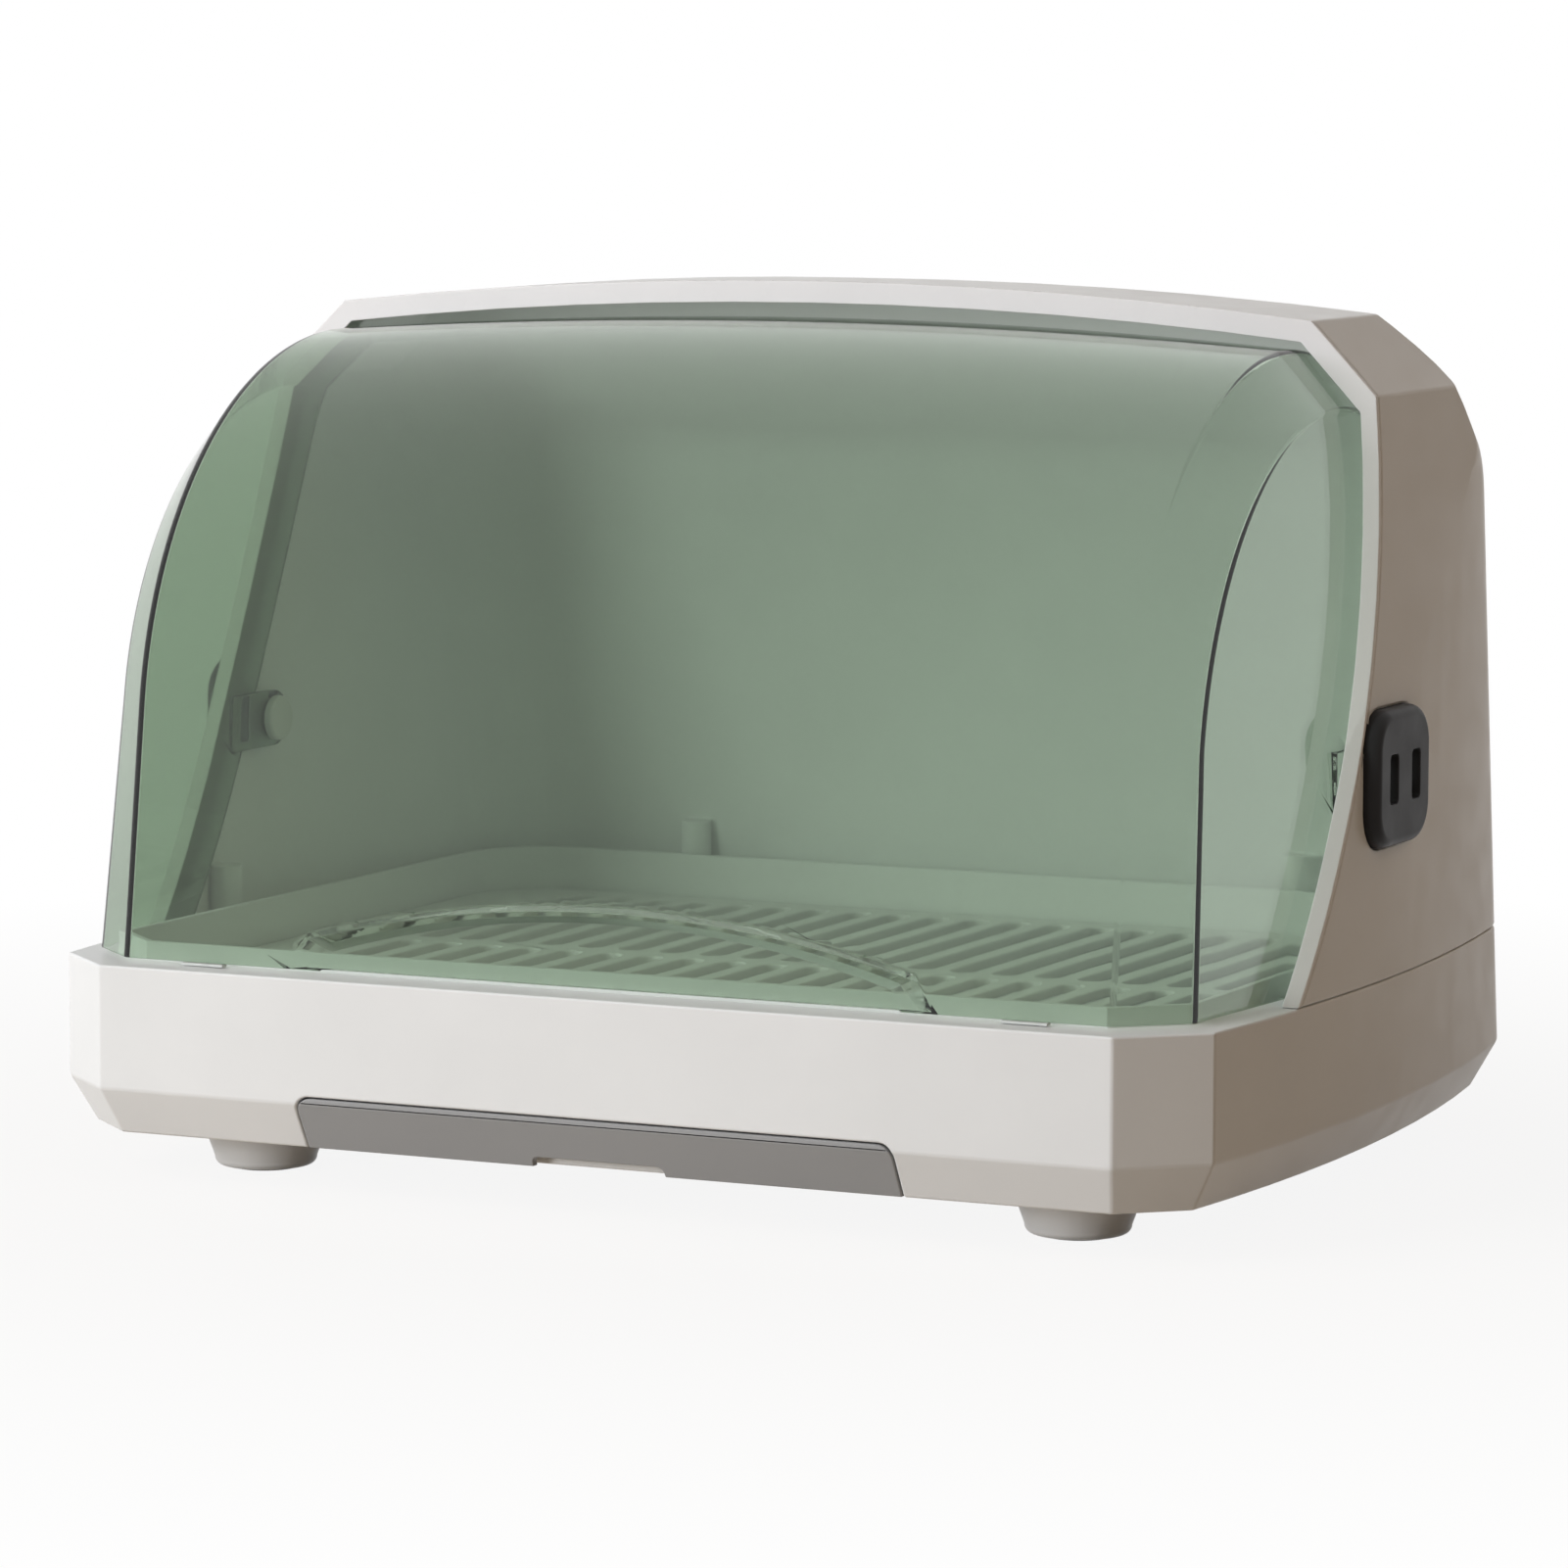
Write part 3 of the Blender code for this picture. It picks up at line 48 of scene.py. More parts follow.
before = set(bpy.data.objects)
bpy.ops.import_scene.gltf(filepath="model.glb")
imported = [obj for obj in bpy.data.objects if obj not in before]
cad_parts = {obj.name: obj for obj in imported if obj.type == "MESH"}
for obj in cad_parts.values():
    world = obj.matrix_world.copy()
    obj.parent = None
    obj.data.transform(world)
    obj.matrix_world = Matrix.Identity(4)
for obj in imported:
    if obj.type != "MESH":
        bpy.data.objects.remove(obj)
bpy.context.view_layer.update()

# Camera, found from the photograph
CAMERA_YAW = 0.44178
CAMERA_PITCH = 0.11092
CAMERA_ROLL = 0.00268
CAMERA_SHIFT_RIGHT = -0.064276
CAMERA_SHIFT_UP = -0.149470
CAMERA_DISTANCE = 2.137845
CAMERA_LENS = 150.66
CAMERA_TARGET = (0.0, -0.1725, -0.0060)
SENSOR_WIDTH = 36.0

# Visor grid: share of the rows in the straight foot, and shares of the half width, in
# columns, at the crowned front's edge and at the fold's edge
STRAIGHT_SHARE = 5.0 / 29.0
FLAT_COLUMN_SHARE = 20.0 / 28.0
FOLD_COLUMN_SHARE = 22.0 / 28.0
VISOR_COLUMNS = 57
VISOR_ROWS = 117

# Light: each lamp's name, place, size and colour, the point that all of them aim at, and the
# colour of the even light
COOL, WARM = (0.965, 0.985, 1.0), (1.0, 0.84, 0.68)
LAMPS = (("key", (-1.5, -1.7, 1.5), 2.2, COOL),
         ("front", (-1.1, -2.3, 0.4), 0.8, COOL),
         ("top", (0.1, 0.2, 1.9), 1.2, (1.0, 0.99, 0.98)),
         ("back", (0.6, 2.0, 1.4), 1.4, WARM),
         ("right", (1.8, -0.4, 1.6), 1.4, (1.0, 0.70, 0.42)))
LAMP_AIM = (0.0, 0.0, 0.14)
ROOM_COLOUR = (*WARM, 1.0)

# Floor: half its width, the colour of the light that it bounces, how white it is seen near
# the object, and the distances over which that share rises to one
FLOOR_HALF = 6.0
FLOOR_COLOUR = (0.55, 0.47, 0.38, 1.0)
WHITE_SHARE = 0.90
FADE_START = 0.25
FADE_END = 0.75

# Materials: the part of a noise's range that is used, the darker shade of moulded plastic,
# half the range of its roughness, and the bending of light by acrylic
NOISE_LOW = 0.3
NOISE_HIGH = 0.7
CLOUD_SHADE = 0.965
SATIN_SPREAD = 0.05
ACRYLIC_IOR = 1.49

# Hood's front edge: shares of its reach as a power series of the height, highest first
EDGE_SHARES = (0.34789, -1.1564, 1.49907, -1.36681, 1.23492, 0.51076)

# Mesh clean-up
WELD = 0.000002
FLAT_ANGLE = math.radians(0.4)
SHARP_ANGLE = math.radians(42.0)

# Least turn between two faces at which the edge between them is rounded
EDGE_ANGLE = math.radians(28.0)
FOLD_ANGLE = math.radians(20.0)
CAP_ANGLE = math.radians(35.0)

# Hood's upper rear corners: they lie beyond these distances to the side, back and up, and
# their points are joined within the last one
CORNER_SIDE = 0.180
CORNER_BACK = 0.055
CORNER_HEIGHT = 0.240
CORNER_WELD = 0.0015

# Corner of a round-ended slot as a share of its width, just under a half
HALF_ROUND = 0.4999

# Side cap: share of its thickness that stays upright, and steps of its rounding
CAP_SHOULDER_SHARE = 0.35
CAP_EDGE_STEPS = 10


# Small helpers

def settings():
    return bpy.context.scene.drying_box


def add_object(name, data):
    """A new object at the origin."""
    holder = bpy.data.objects.new(name, data)
    bpy.context.scene.collection.objects.link(holder)
    return holder


def coated(mesh, material):
    """The mesh with one material all over."""
    mesh.materials.clear()
    mesh.materials.append(material)
    for face in mesh.polygons:
        face.material_index = 0
    return mesh


def new_piece(name, mesh, material):
    """A finished mesh as a piece, with one material all over."""
    mesh.name = name
    return add_object(name, coated(mesh, material))


@contextlib.contextmanager
def editing(mesh):
    """The mesh in a form that can be edited, and written back at the end."""
    work = bmesh.new()
    work.from_mesh(mesh)
    yield work
    work.to_mesh(mesh)
    work.free()


def applied(piece):
    """The piece with its modifiers turned into plain mesh."""
    bpy.context.view_layer.update()
    depsgraph = bpy.context.evaluated_depsgraph_get()
    result = bpy.data.meshes.new_from_object(piece.evaluated_get(depsgraph))
    old = piece.data
    piece.modifiers.clear()
    piece.data = result
    result.name = piece.name
    bpy.data.meshes.remove(old)
    return piece


def place(piece, body, slot, *nodes):
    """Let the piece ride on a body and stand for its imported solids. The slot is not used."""
    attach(piece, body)
    if nodes:
        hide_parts(*nodes)
    return piece


def mesh_from(name, verts, faces):
    """A mesh whose faces all point outwards."""
    mesh = bpy.data.meshes.new(name)
    mesh.from_pydata(verts, [], faces)
    with editing(mesh) as work:
        bmesh.ops.remove_doubles(work, verts=work.verts, dist=WELD)
        bmesh.ops.recalc_face_normals(work, faces=work.faces)
    return mesh


def loft(name, rings):
    """A closed mesh through rings of the same number of points."""
    count = len(rings[0])
    verts = [point for ring in rings for point in ring]
    faces = [tuple(range(count)), tuple(range(len(verts) - count, len(verts)))]
    for level in range(len(rings) - 1):
        for i in range(count):
            j = (i + 1) % count
            low, high = level * count, (level + 1) * count
            faces.append((low + i, low + j, high + j, high + i))
    return mesh_from(name, verts, faces)


def turned(name, profile, steps, axis="Z", centre=(0.0, 0.0, 0.0)):
    """A closed mesh turned about an axis, from a profile of radius and distance along it."""
    rings = []
    for radius, along in profile:
        ring = []
        for i in range(steps):
            a = 2 * math.pi * i / steps
            u, v = radius * math.cos(a), radius * math.sin(a)
            point = (u, v, along) if axis == "Z" else (along, u, v)
            ring.append(tuple(p + c for p, c in zip(point, centre)))
        rings.append(ring)
    return loft(name, rings)


def round_edges(piece, width, segments=3, angle=EDGE_ANGLE):
    """Round the sharp edges and even out the shading of the flats."""
    bevel = piece.modifiers.new("Moulded edges", 'BEVEL')
    bevel.limit_method = 'ANGLE'
    bevel.angle_limit = angle
    bevel.width = width
    bevel.segments = segments
    bevel.use_clamp_overlap = False
    bevel.loop_slide = True
    applied(piece)
    return even_shading(piece)


def even_shading(piece, angle=SHARP_ANGLE):
    """Smooth the shading but for sharp edges, led by the larger faces."""
    piece.data.shade_smooth()
    piece.data.set_sharp_from_angle(angle=angle)
    weighted = piece.modifiers.new("Even shading", 'WEIGHTED_NORMAL')
    weighted.keep_sharp = True
    return applied(piece)


def boolean(piece, tool, operation):
    """Join, or cut away, a tool that is used up."""
    modifier = piece.modifiers.new(operation.title(), 'BOOLEAN')
    modifier.operation = operation
    modifier.solver = 'EXACT'
    modifier.object = tool
    applied(piece)
    bpy.data.objects.remove(tool, do_unlink=True)
    return piece


def in_rear_corner(point):
    """Whether a point is in one of the hood's two upper rear corners."""
    return abs(point.x) > CORNER_SIDE and point.y > CORNER_BACK and point.z > CORNER_HEIGHT


def plain_copy(name, node, material):
    """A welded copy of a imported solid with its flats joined."""
    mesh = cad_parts[node].data.copy()
    with editing(mesh) as work:
        bmesh.ops.remove_doubles(work, verts=work.verts, dist=WELD)
        bmesh.ops.dissolve_limit(work, angle_limit=FLAT_ANGLE, verts=work.verts,
                                 edges=work.edges)
        # Points nearer to each other than the rounding is wide would fold a face over itself
        crowded = [vert for vert in work.verts if in_rear_corner(vert.co)]
        bmesh.ops.remove_doubles(work, verts=crowded, dist=CORNER_WELD)
    return new_piece(name, mesh, material)


def dress(name, node, coat, width, slot, body="housing", segments=3):
    """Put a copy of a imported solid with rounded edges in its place."""
    piece = round_edges(plain_copy(name, node, finish(coat)), width, segments)
    return place(piece, body, slot, node)


# Materials

def connect(tree, socket, value):
    """Link the socket to another socket or to a field, or set its plain value."""
    if isinstance(value, Field):
        value = value.socket
    if isinstance(value, bpy.types.NodeSocket):
        tree.links.new(value, socket)
    else:
        socket.default_value = value


def set_up(tree, node, **values):
    """The node with its sockets set or linked by name, with underscores for spaces."""
    for name, value in values.items():
        connect(tree, node.inputs[name.replace("_", " ")], value)
    return node


def add_node(tree, kind, **values):
    return set_up(tree, tree.nodes.new(kind), **values)


def mix_shaders(tree, share, first, second, output="Material Output"):
    """Give the output the first shader, and the second one by its share."""
    mix = tree.nodes.new("ShaderNodeMixShader")
    for socket, value in zip(mix.inputs, (share, first.outputs[0], second.outputs[0])):
        connect(tree, socket, value)
    set_up(tree, tree.nodes[output], Surface=mix.outputs[0])


def noise(tree, scale, detail=2.0, stretch=(1.0, 1.0, 1.0)):
    """Noise on the piece's own coordinates, in features per metre."""
    coordinates = tree.nodes.new("ShaderNodeTexCoord")
    mapping = add_node(tree, "ShaderNodeMapping", Vector=coordinates.outputs["Object"],
                       Scale=stretch)
    texture = add_node(tree, "ShaderNodeTexNoise", Vector=mapping.outputs["Vector"],
                       Scale=scale, Detail=detail)
    return texture.outputs["Fac"]


def spread(tree, source, low, high):
    """Map the middle of a noise to a range."""
    mapped = add_node(tree, "ShaderNodeMapRange", Value=source, From_Min=NOISE_LOW,
                      From_Max=NOISE_HIGH, To_Min=low, To_Max=high)
    return mapped.outputs["Result"]


def tint(tree, source, dark, light):
    """Two near shades of a colour, mixed by a noise."""
    mix = tree.nodes.new("ShaderNodeMix")
    mix.data_type = 'RGBA'
    set_up(tree, mix, Factor=spread(tree, source, 0.0, 1.0), A=(*dark, 1.0), B=(*light, 1.0))
    return mix.outputs["Result"]


def bump(tree, source, strength, distance):
    node = add_node(tree, "ShaderNodeBump", Height=source, Strength=strength,
                    Distance=distance)
    return node.outputs["Normal"]


def new_material(name):
    material = bpy.data.materials.new(name)
    material.use_nodes = True
    return material, material.node_tree, material.node_tree.nodes["Principled BSDF"]


def shade(colour, share):
    return tuple(c * share for c in colour)


def moulded_plastic(name, colour, roughness, grain_scale=1400.0, grain=0.10, depth=0.00008,
                    gloss=0.08):
    """Moulded plastic: faint cloudiness, a fine grain and an uneven satin."""
    material, tree, shader = new_material(name)
    clouds = noise(tree, scale=22.0, detail=3.0)
    satin = noise(tree, scale=75.0, detail=4.0)
    set_up(tree, shader, Specular_IOR_Level=gloss,
           Base_Color=tint(tree, clouds, shade(colour, CLOUD_SHADE), colour),
           Roughness=spread(tree, satin, roughness - SATIN_SPREAD, roughness + SATIN_SPREAD),
           Normal=bump(tree, noise(tree, grain_scale), grain, depth))
    return material


def clear_plastic(name, colour, film_colour, roughness):
    """Tinted clear plastic that lets lamps through, with faint wiping marks."""
    material, tree, shader = new_material(name)
    wiped = noise(tree, scale=60.0, detail=5.0, stretch=(1.0, 1.0, 0.25))
    waves = noise(tree, scale=9.0, detail=1.0)
    set_up(tree, shader, Base_Color=(*colour, 1.0), Transmission_Weight=1.0, IOR=ACRYLIC_IOR,
           Roughness=spread(tree, wiped, roughness * 0.5, roughness * 1.5),
           Normal=bump(tree, waves, strength=0.05, distance=0.0006))
    film = add_node(tree, "ShaderNodeBsdfTransparent", Color=(*film_colour, 1.0))
    path = tree.nodes.new("ShaderNodeLightPath")
    mix_shaders(tree, path.outputs["Is Shadow Ray"], shader, film)
    return material


def soft_rubber(name, colour, darker=0.8):
    """Dull rubber: uneven in colour, with a coarse grain."""
    material, tree, shader = new_material(name)
    stains = noise(tree, scale=160.0, detail=4.0)
    grain = noise(tree, scale=1800.0, detail=3.0)
    set_up(tree, shader, Base_Color=tint(tree, stains, shade(colour, darker), colour),
           Roughness=0.8, Normal=bump(tree, grain, strength=0.35, distance=0.0001))
    return material


def plated_steel(name, colour, darker=0.85):
    """Plated steel: uneven in colour, with turning marks in its gloss."""
    material, tree, shader = new_material(name)
    stains = noise(tree, scale=300.0, detail=3.0)
    marks = noise(tree, scale=900.0, stretch=(1.0, 1.0, 6.0))
    set_up(tree, shader, Metallic=1.0, Roughness=spread(tree, marks, low=0.25, high=0.42),
           Base_Color=tint(tree, stains, shade(colour, darker), colour))
    return material


def finish(name):
    """The named finish, made the first time it is asked for."""
    known = bpy.data.materials.get(name)
    if known is not None:
        return known
    look = settings().look
    makers = {
        "shell": lambda: moulded_plastic(name, look.shell_colour, 0.34),
        "trim": lambda: moulded_plastic(name, look.trim_colour, 0.28, grain=0.05),
        "tray": lambda: moulded_plastic(name, look.tray_colour, 0.40),
        "rack": lambda: moulded_plastic(name, look.rack_colour, 0.38),
        "drawer": lambda: moulded_plastic(name, look.drawer_colour, 0.46, grain=0.18),
        "cap": lambda: moulded_plastic(name, look.cap_colour, 0.42, grain=0.2),
        "nylon": lambda: moulded_plastic(name, look.nylon_colour, 0.40),
        "visor": lambda: clear_plastic(name, look.visor_tint, look.visor_shadow, 0.03),
        "rubber": lambda: soft_rubber(name, look.rubber_colour),
        "bumper": lambda: soft_rubber(name, look.bumper_colour),
        "steel": lambda: plated_steel(name, look.steel_colour),
    }
    return makers[name]()


# Geometry node trees

class Field:
    """A number in a node tree that takes plain arithmetic."""

    def __init__(self, tree, socket):
        self.tree, self.socket = tree, socket

    def math(self, operation, *others):
        node = self.tree.nodes.new("ShaderNodeMath")
        node.operation = operation
        for socket, value in zip(node.inputs, (self, *others)):
            connect(self.tree, socket, value)
        return Field(self.tree, node.outputs[0])

    def __add__(self, other):
        return self.math('ADD', other)

    def __sub__(self, other):
        return self.math('SUBTRACT', other)

    def __mul__(self, other):
        return self.math('MULTIPLY', other)

    def __truediv__(self, other):
        return self.math('DIVIDE', other)

    def __neg__(self):
        return self.math('MULTIPLY', -1.0)

    __radd__, __rmul__ = __add__, __mul__

    def unit(self):
        """Held between nought and one."""
        return self.math('MINIMUM', 1.0).math('MAXIMUM', 0.0)


def titled(name):
    return name.replace("_", " ").title()


def node_tree(name, inputs, takes_geometry=False):
    """An empty geometry tree with titled inputs, and those inputs as fields by name."""
    tree = bpy.data.node_groups.new(name, 'GeometryNodeTree')
    tree.interface.new_socket("Geometry", in_out='OUTPUT', socket_type='NodeSocketGeometry')
    if takes_geometry:
        tree.interface.new_socket("Geometry", in_out='INPUT', socket_type='NodeSocketGeometry')
    for input_name, value in inputs.items():
        kind = 'NodeSocketInt' if isinstance(value, int) else 'NodeSocketFloat'
        tree.interface.new_socket(titled(input_name), in_out='INPUT', socket_type=kind)
    tree.interface.new_socket("Material", in_out='INPUT', socket_type='NodeSocketMaterial')
    group = tree.nodes.new("NodeGroupInput")
    fields = {n: Field(tree, group.outputs[titled(n)]) for n in inputs}
    return tree, group, types.SimpleNamespace(**fields)


def end_tree(tree, group, geometry):
    """Realize Instances and Set Material at the end of a tree."""
    realize = add_node(tree, "GeometryNodeRealizeInstances", Geometry=geometry)
    coat = add_node(tree, "GeometryNodeSetMaterial", Geometry=realize.outputs["Geometry"],
                    Material=group.outputs["Material"])
    add_node(tree, "NodeGroupOutput", Geometry=coat.outputs["Geometry"])


def grown(name, tree, values, material, seed_mesh=None):
    """Run a tree on a piece and keep the result as plain mesh."""
    piece = new_piece(name, seed_mesh or bpy.data.meshes.new(name), material)
    modifier = piece.modifiers.new("Grown", 'NODES')
    modifier.node_group = tree
    values = {titled(n): value for n, value in {**values, "material": material}.items()}
    for item in tree.interface.items_tree:
        if item.item_type == 'SOCKET' and item.in_out == 'INPUT' and item.name in values:
            modifier[item.identifier] = values[item.name]
    applied(piece)
    if not piece.data.polygons:
        raise RuntimeError(f"{name} came out empty")
    coated(piece.data, material)
    return piece


def pairs_tree():
    """Puts the incoming shape at two pairs of places across the middle plane."""
    sizes = dict.fromkeys(("front_half_spacing", "front_y", "rear_half_spacing", "rear_y"), 0.0)
    tree, group, size = node_tree("Pairs across the middle", sizes, True)
    join = tree.nodes.new("GeometryNodeJoinGeometry")
    for half, y in ((size.front_half_spacing, size.front_y),
                    (size.rear_half_spacing, size.rear_y)):
        start = add_node(tree, "ShaderNodeCombineXYZ", X=-half, Y=y)
        step = add_node(tree, "ShaderNodeCombineXYZ", X=half * 2.0)
        line = add_node(tree, "GeometryNodeMeshLine", Count=2, Start_Location=start.outputs[0],
                        Offset=step.outputs[0])
        set_up(tree, join, Geometry=line.outputs["Mesh"])
    spread_out = add_node(tree, "GeometryNodeInstanceOnPoints", Points=join.outputs["Geometry"],
                          Instance=group.outputs["Geometry"])
    end_tree(tree, group, spread_out.outputs["Instances"])
    return tree


def visor_tree(look):
    """The visor's outer sheet: a crowned front with a fold down each side, carried up a
    straight line and then round the pivot, with side walls back to the hood's edge."""
    names = ("foot_y", "foot_z", "pivot_y", "pivot_z", "radius", "crown", "fold_half",
             "fold_depth", "foot_half", "top_half", "side_lap", "edge_foot", "edge_height",
             "edge_start", "edge_reach", "window_half", "bow_y", "bow_radius", "bend_z",
             "bend_rise", "lean_in", "columns", "rows")
    values = {name: getattr(look, name) for name in names}
    values.update(lift=look.lift(), end=math.pi / 2 + look.past_top, side_top=look.side_top())
    tree, group, size = node_tree("Visor sheet", values)
    grid = add_node(tree, "GeometryNodeMeshGrid", Size_X=2.0, Size_Y=1.0,
                    Vertices_X=size.columns, Vertices_Y=size.rows)
    where = tree.nodes.new("GeometryNodeInputPosition")
    split = add_node(tree, "ShaderNodeSeparateXYZ", Vector=where.outputs[0])
    across = Field(tree, split.outputs["X"])
    along = Field(tree, split.outputs["Y"]) + 0.5
    off_middle = across.math('ABSOLUTE')
    side = across.math('SIGN')

    straight = (along / STRAIGHT_SHARE).unit()
    arc = ((along - STRAIGHT_SHARE) / (1.0 - STRAIGHT_SHARE)).unit()
    turn = size.lift + (size.end - size.lift) * arc
    out_y, out_z = -turn.math('COSINE'), turn.math('SINE')
    tangent_y = size.pivot_y - size.radius * size.lift.math('COSINE')
    tangent_z = size.pivot_z + size.radius * size.lift.math('SINE')
    left = -straight + 1.0
    fold_y = size.pivot_y + size.radius * out_y + (size.foot_y - tangent_y) * left
    fold_z = size.pivot_z + size.radius * out_z + (size.foot_z - tangent_z) * left

    flat = (off_middle / FLAT_COLUMN_SHARE).unit()
    slope = ((off_middle - FLAT_COLUMN_SHARE) / (FOLD_COLUMN_SHARE - FLAT_COLUMN_SHARE)).unit()
    wall = ((off_middle - FOLD_COLUMN_SHARE) / (1.0 - FOLD_COLUMN_SHARE)).unit()
    rise = size.crown * arc * (-(flat * flat) + 1.0)

    def half_at(z):
        share = ((z - size.foot_z) / (tangent_z - size.foot_z)).unit()
        return size.foot_half + (size.top_half - size.foot_half) * share

    side_y = fold_y - out_y * size.fold_depth
    side_z = (fold_z - out_z * size.fold_depth).math('MAXIMUM', size.foot_z)
    rear_z = size.foot_z + (size.side_top - size.foot_z) * along
    up = (rear_z - size.edge_foot) / size.edge_height
    reach = up * 0.0
    for share in EDGE_SHARES:
        reach = reach * up + share
    edge_y = reach * size.edge_reach + size.edge_start
    rear_y = edge_y + size.side_lap
    off_bow = edge_y - size.bow_y
    lean = ((rear_z - size.bend_z) / size.bend_rise).unit()
    rear_half = (size.window_half - off_bow * off_bow / (size.bow_radius * 2.0)
                 - size.lean_in * lean * lean)

    x = size.fold_half * flat + (half_at(side_z) - size.fold_half) * slope
    x = x + (rear_half - half_at(side_z)) * wall
    y = fold_y + out_y * rise + (side_y - fold_y) * slope + (rear_y - side_y) * wall
    z = fold_z + out_z * rise + (side_z - fold_z) * slope + (rear_z - side_z) * wall
    point = add_node(tree, "ShaderNodeCombineXYZ", X=x * side, Y=y, Z=z)
    shaped = add_node(tree, "GeometryNodeSetPosition", Geometry=grid.outputs["Mesh"],
                      Position=point.outputs[0])
    end_tree(tree, group, shaped.outputs["Geometry"])
    return tree, values


# Settings

def length(name, default, description):
    return bpy.props.FloatProperty(name=name, default=default, description=description,
                                   subtype='DISTANCE', unit='LENGTH', precision=4)


def angle(name, default, description):
    return bpy.props.FloatProperty(name=name, default=default, description=description,
                                   subtype='ANGLE', unit='ROTATION')


def count(name, default, description):
    return bpy.props.IntProperty(name=name, default=default, min=1, description=description)


def colour(name, default, description):
    return bpy.props.FloatVectorProperty(name=name, default=default, size=3, min=0.0, max=1.0,
                                         subtype='COLOR', description=description)


def power(name, default, description):
    return bpy.props.FloatProperty(name=name, default=default, min=0.0, unit='POWER',
                                   description=description)


class DryingBoxLook(bpy.types.PropertyGroup):
    """Colours, edges and light."""
    shell_colour: colour("Shell", (0.80, 0.80, 0.80), "Tub, hood, well and feet")
    trim_colour: colour("Trim", (0.83, 0.81, 0.815), "Frame in the hood's front edge")
    tray_colour: colour("Tray", (0.70, 0.70, 0.69), "Drip tray in the drawer")
    rack_colour: colour("Rack", (0.76, 0.755, 0.74), "Slatted rack")
    drawer_colour: colour("Drawer", (0.35, 0.35, 0.355), "Drawer front")
    cap_colour: colour("Cap", (0.036, 0.036, 0.039), "Vented caps on the hood's sides")
    nylon_colour: colour("Nylon", (0.72, 0.72, 0.70), "Pins, washers and runners")
    visor_tint: colour("Visor tint", (0.43, 0.53, 0.42), "What the visor lets through")
    visor_shadow: colour("Visor shadow", (0.90, 0.915, 0.90), "What its faces let lamps through")
    rubber_colour: colour("Rubber", (0.12, 0.12, 0.12), "Foot pads and bumpers")
    bumper_colour: colour("Bumper", (0.66, 0.68, 0.66), "Bumpers under the visor's foot")
    steel_colour: colour("Steel", (0.56, 0.56, 0.57), "Screws")
    shell_edge: length("Shell edge", 0.0009, "Rounding of the shell's outer edges")
    trim_edge: length("Trim edge", 0.0005, "Rounding of the trim's edges")
    small_edge: length("Small edge", 0.0004, "Rounding of the small parts' edges")
    key_power: power("Key", 56.0, "Soft lamp in front on the left")
    front_power: power("Front", 22.0, "Soft low lamp in front")
    top_power: power("Top", 3.0, "Soft lamp above")
    back_power: power("Back", 6.5, "Soft warm lamp behind")
    right_power: power("Right", 5.0, "Soft warm lamp on the right")
    room_light: bpy.props.FloatProperty(name="Room light", default=0.035, min=0.0,
                                        description="Even light from all sides")


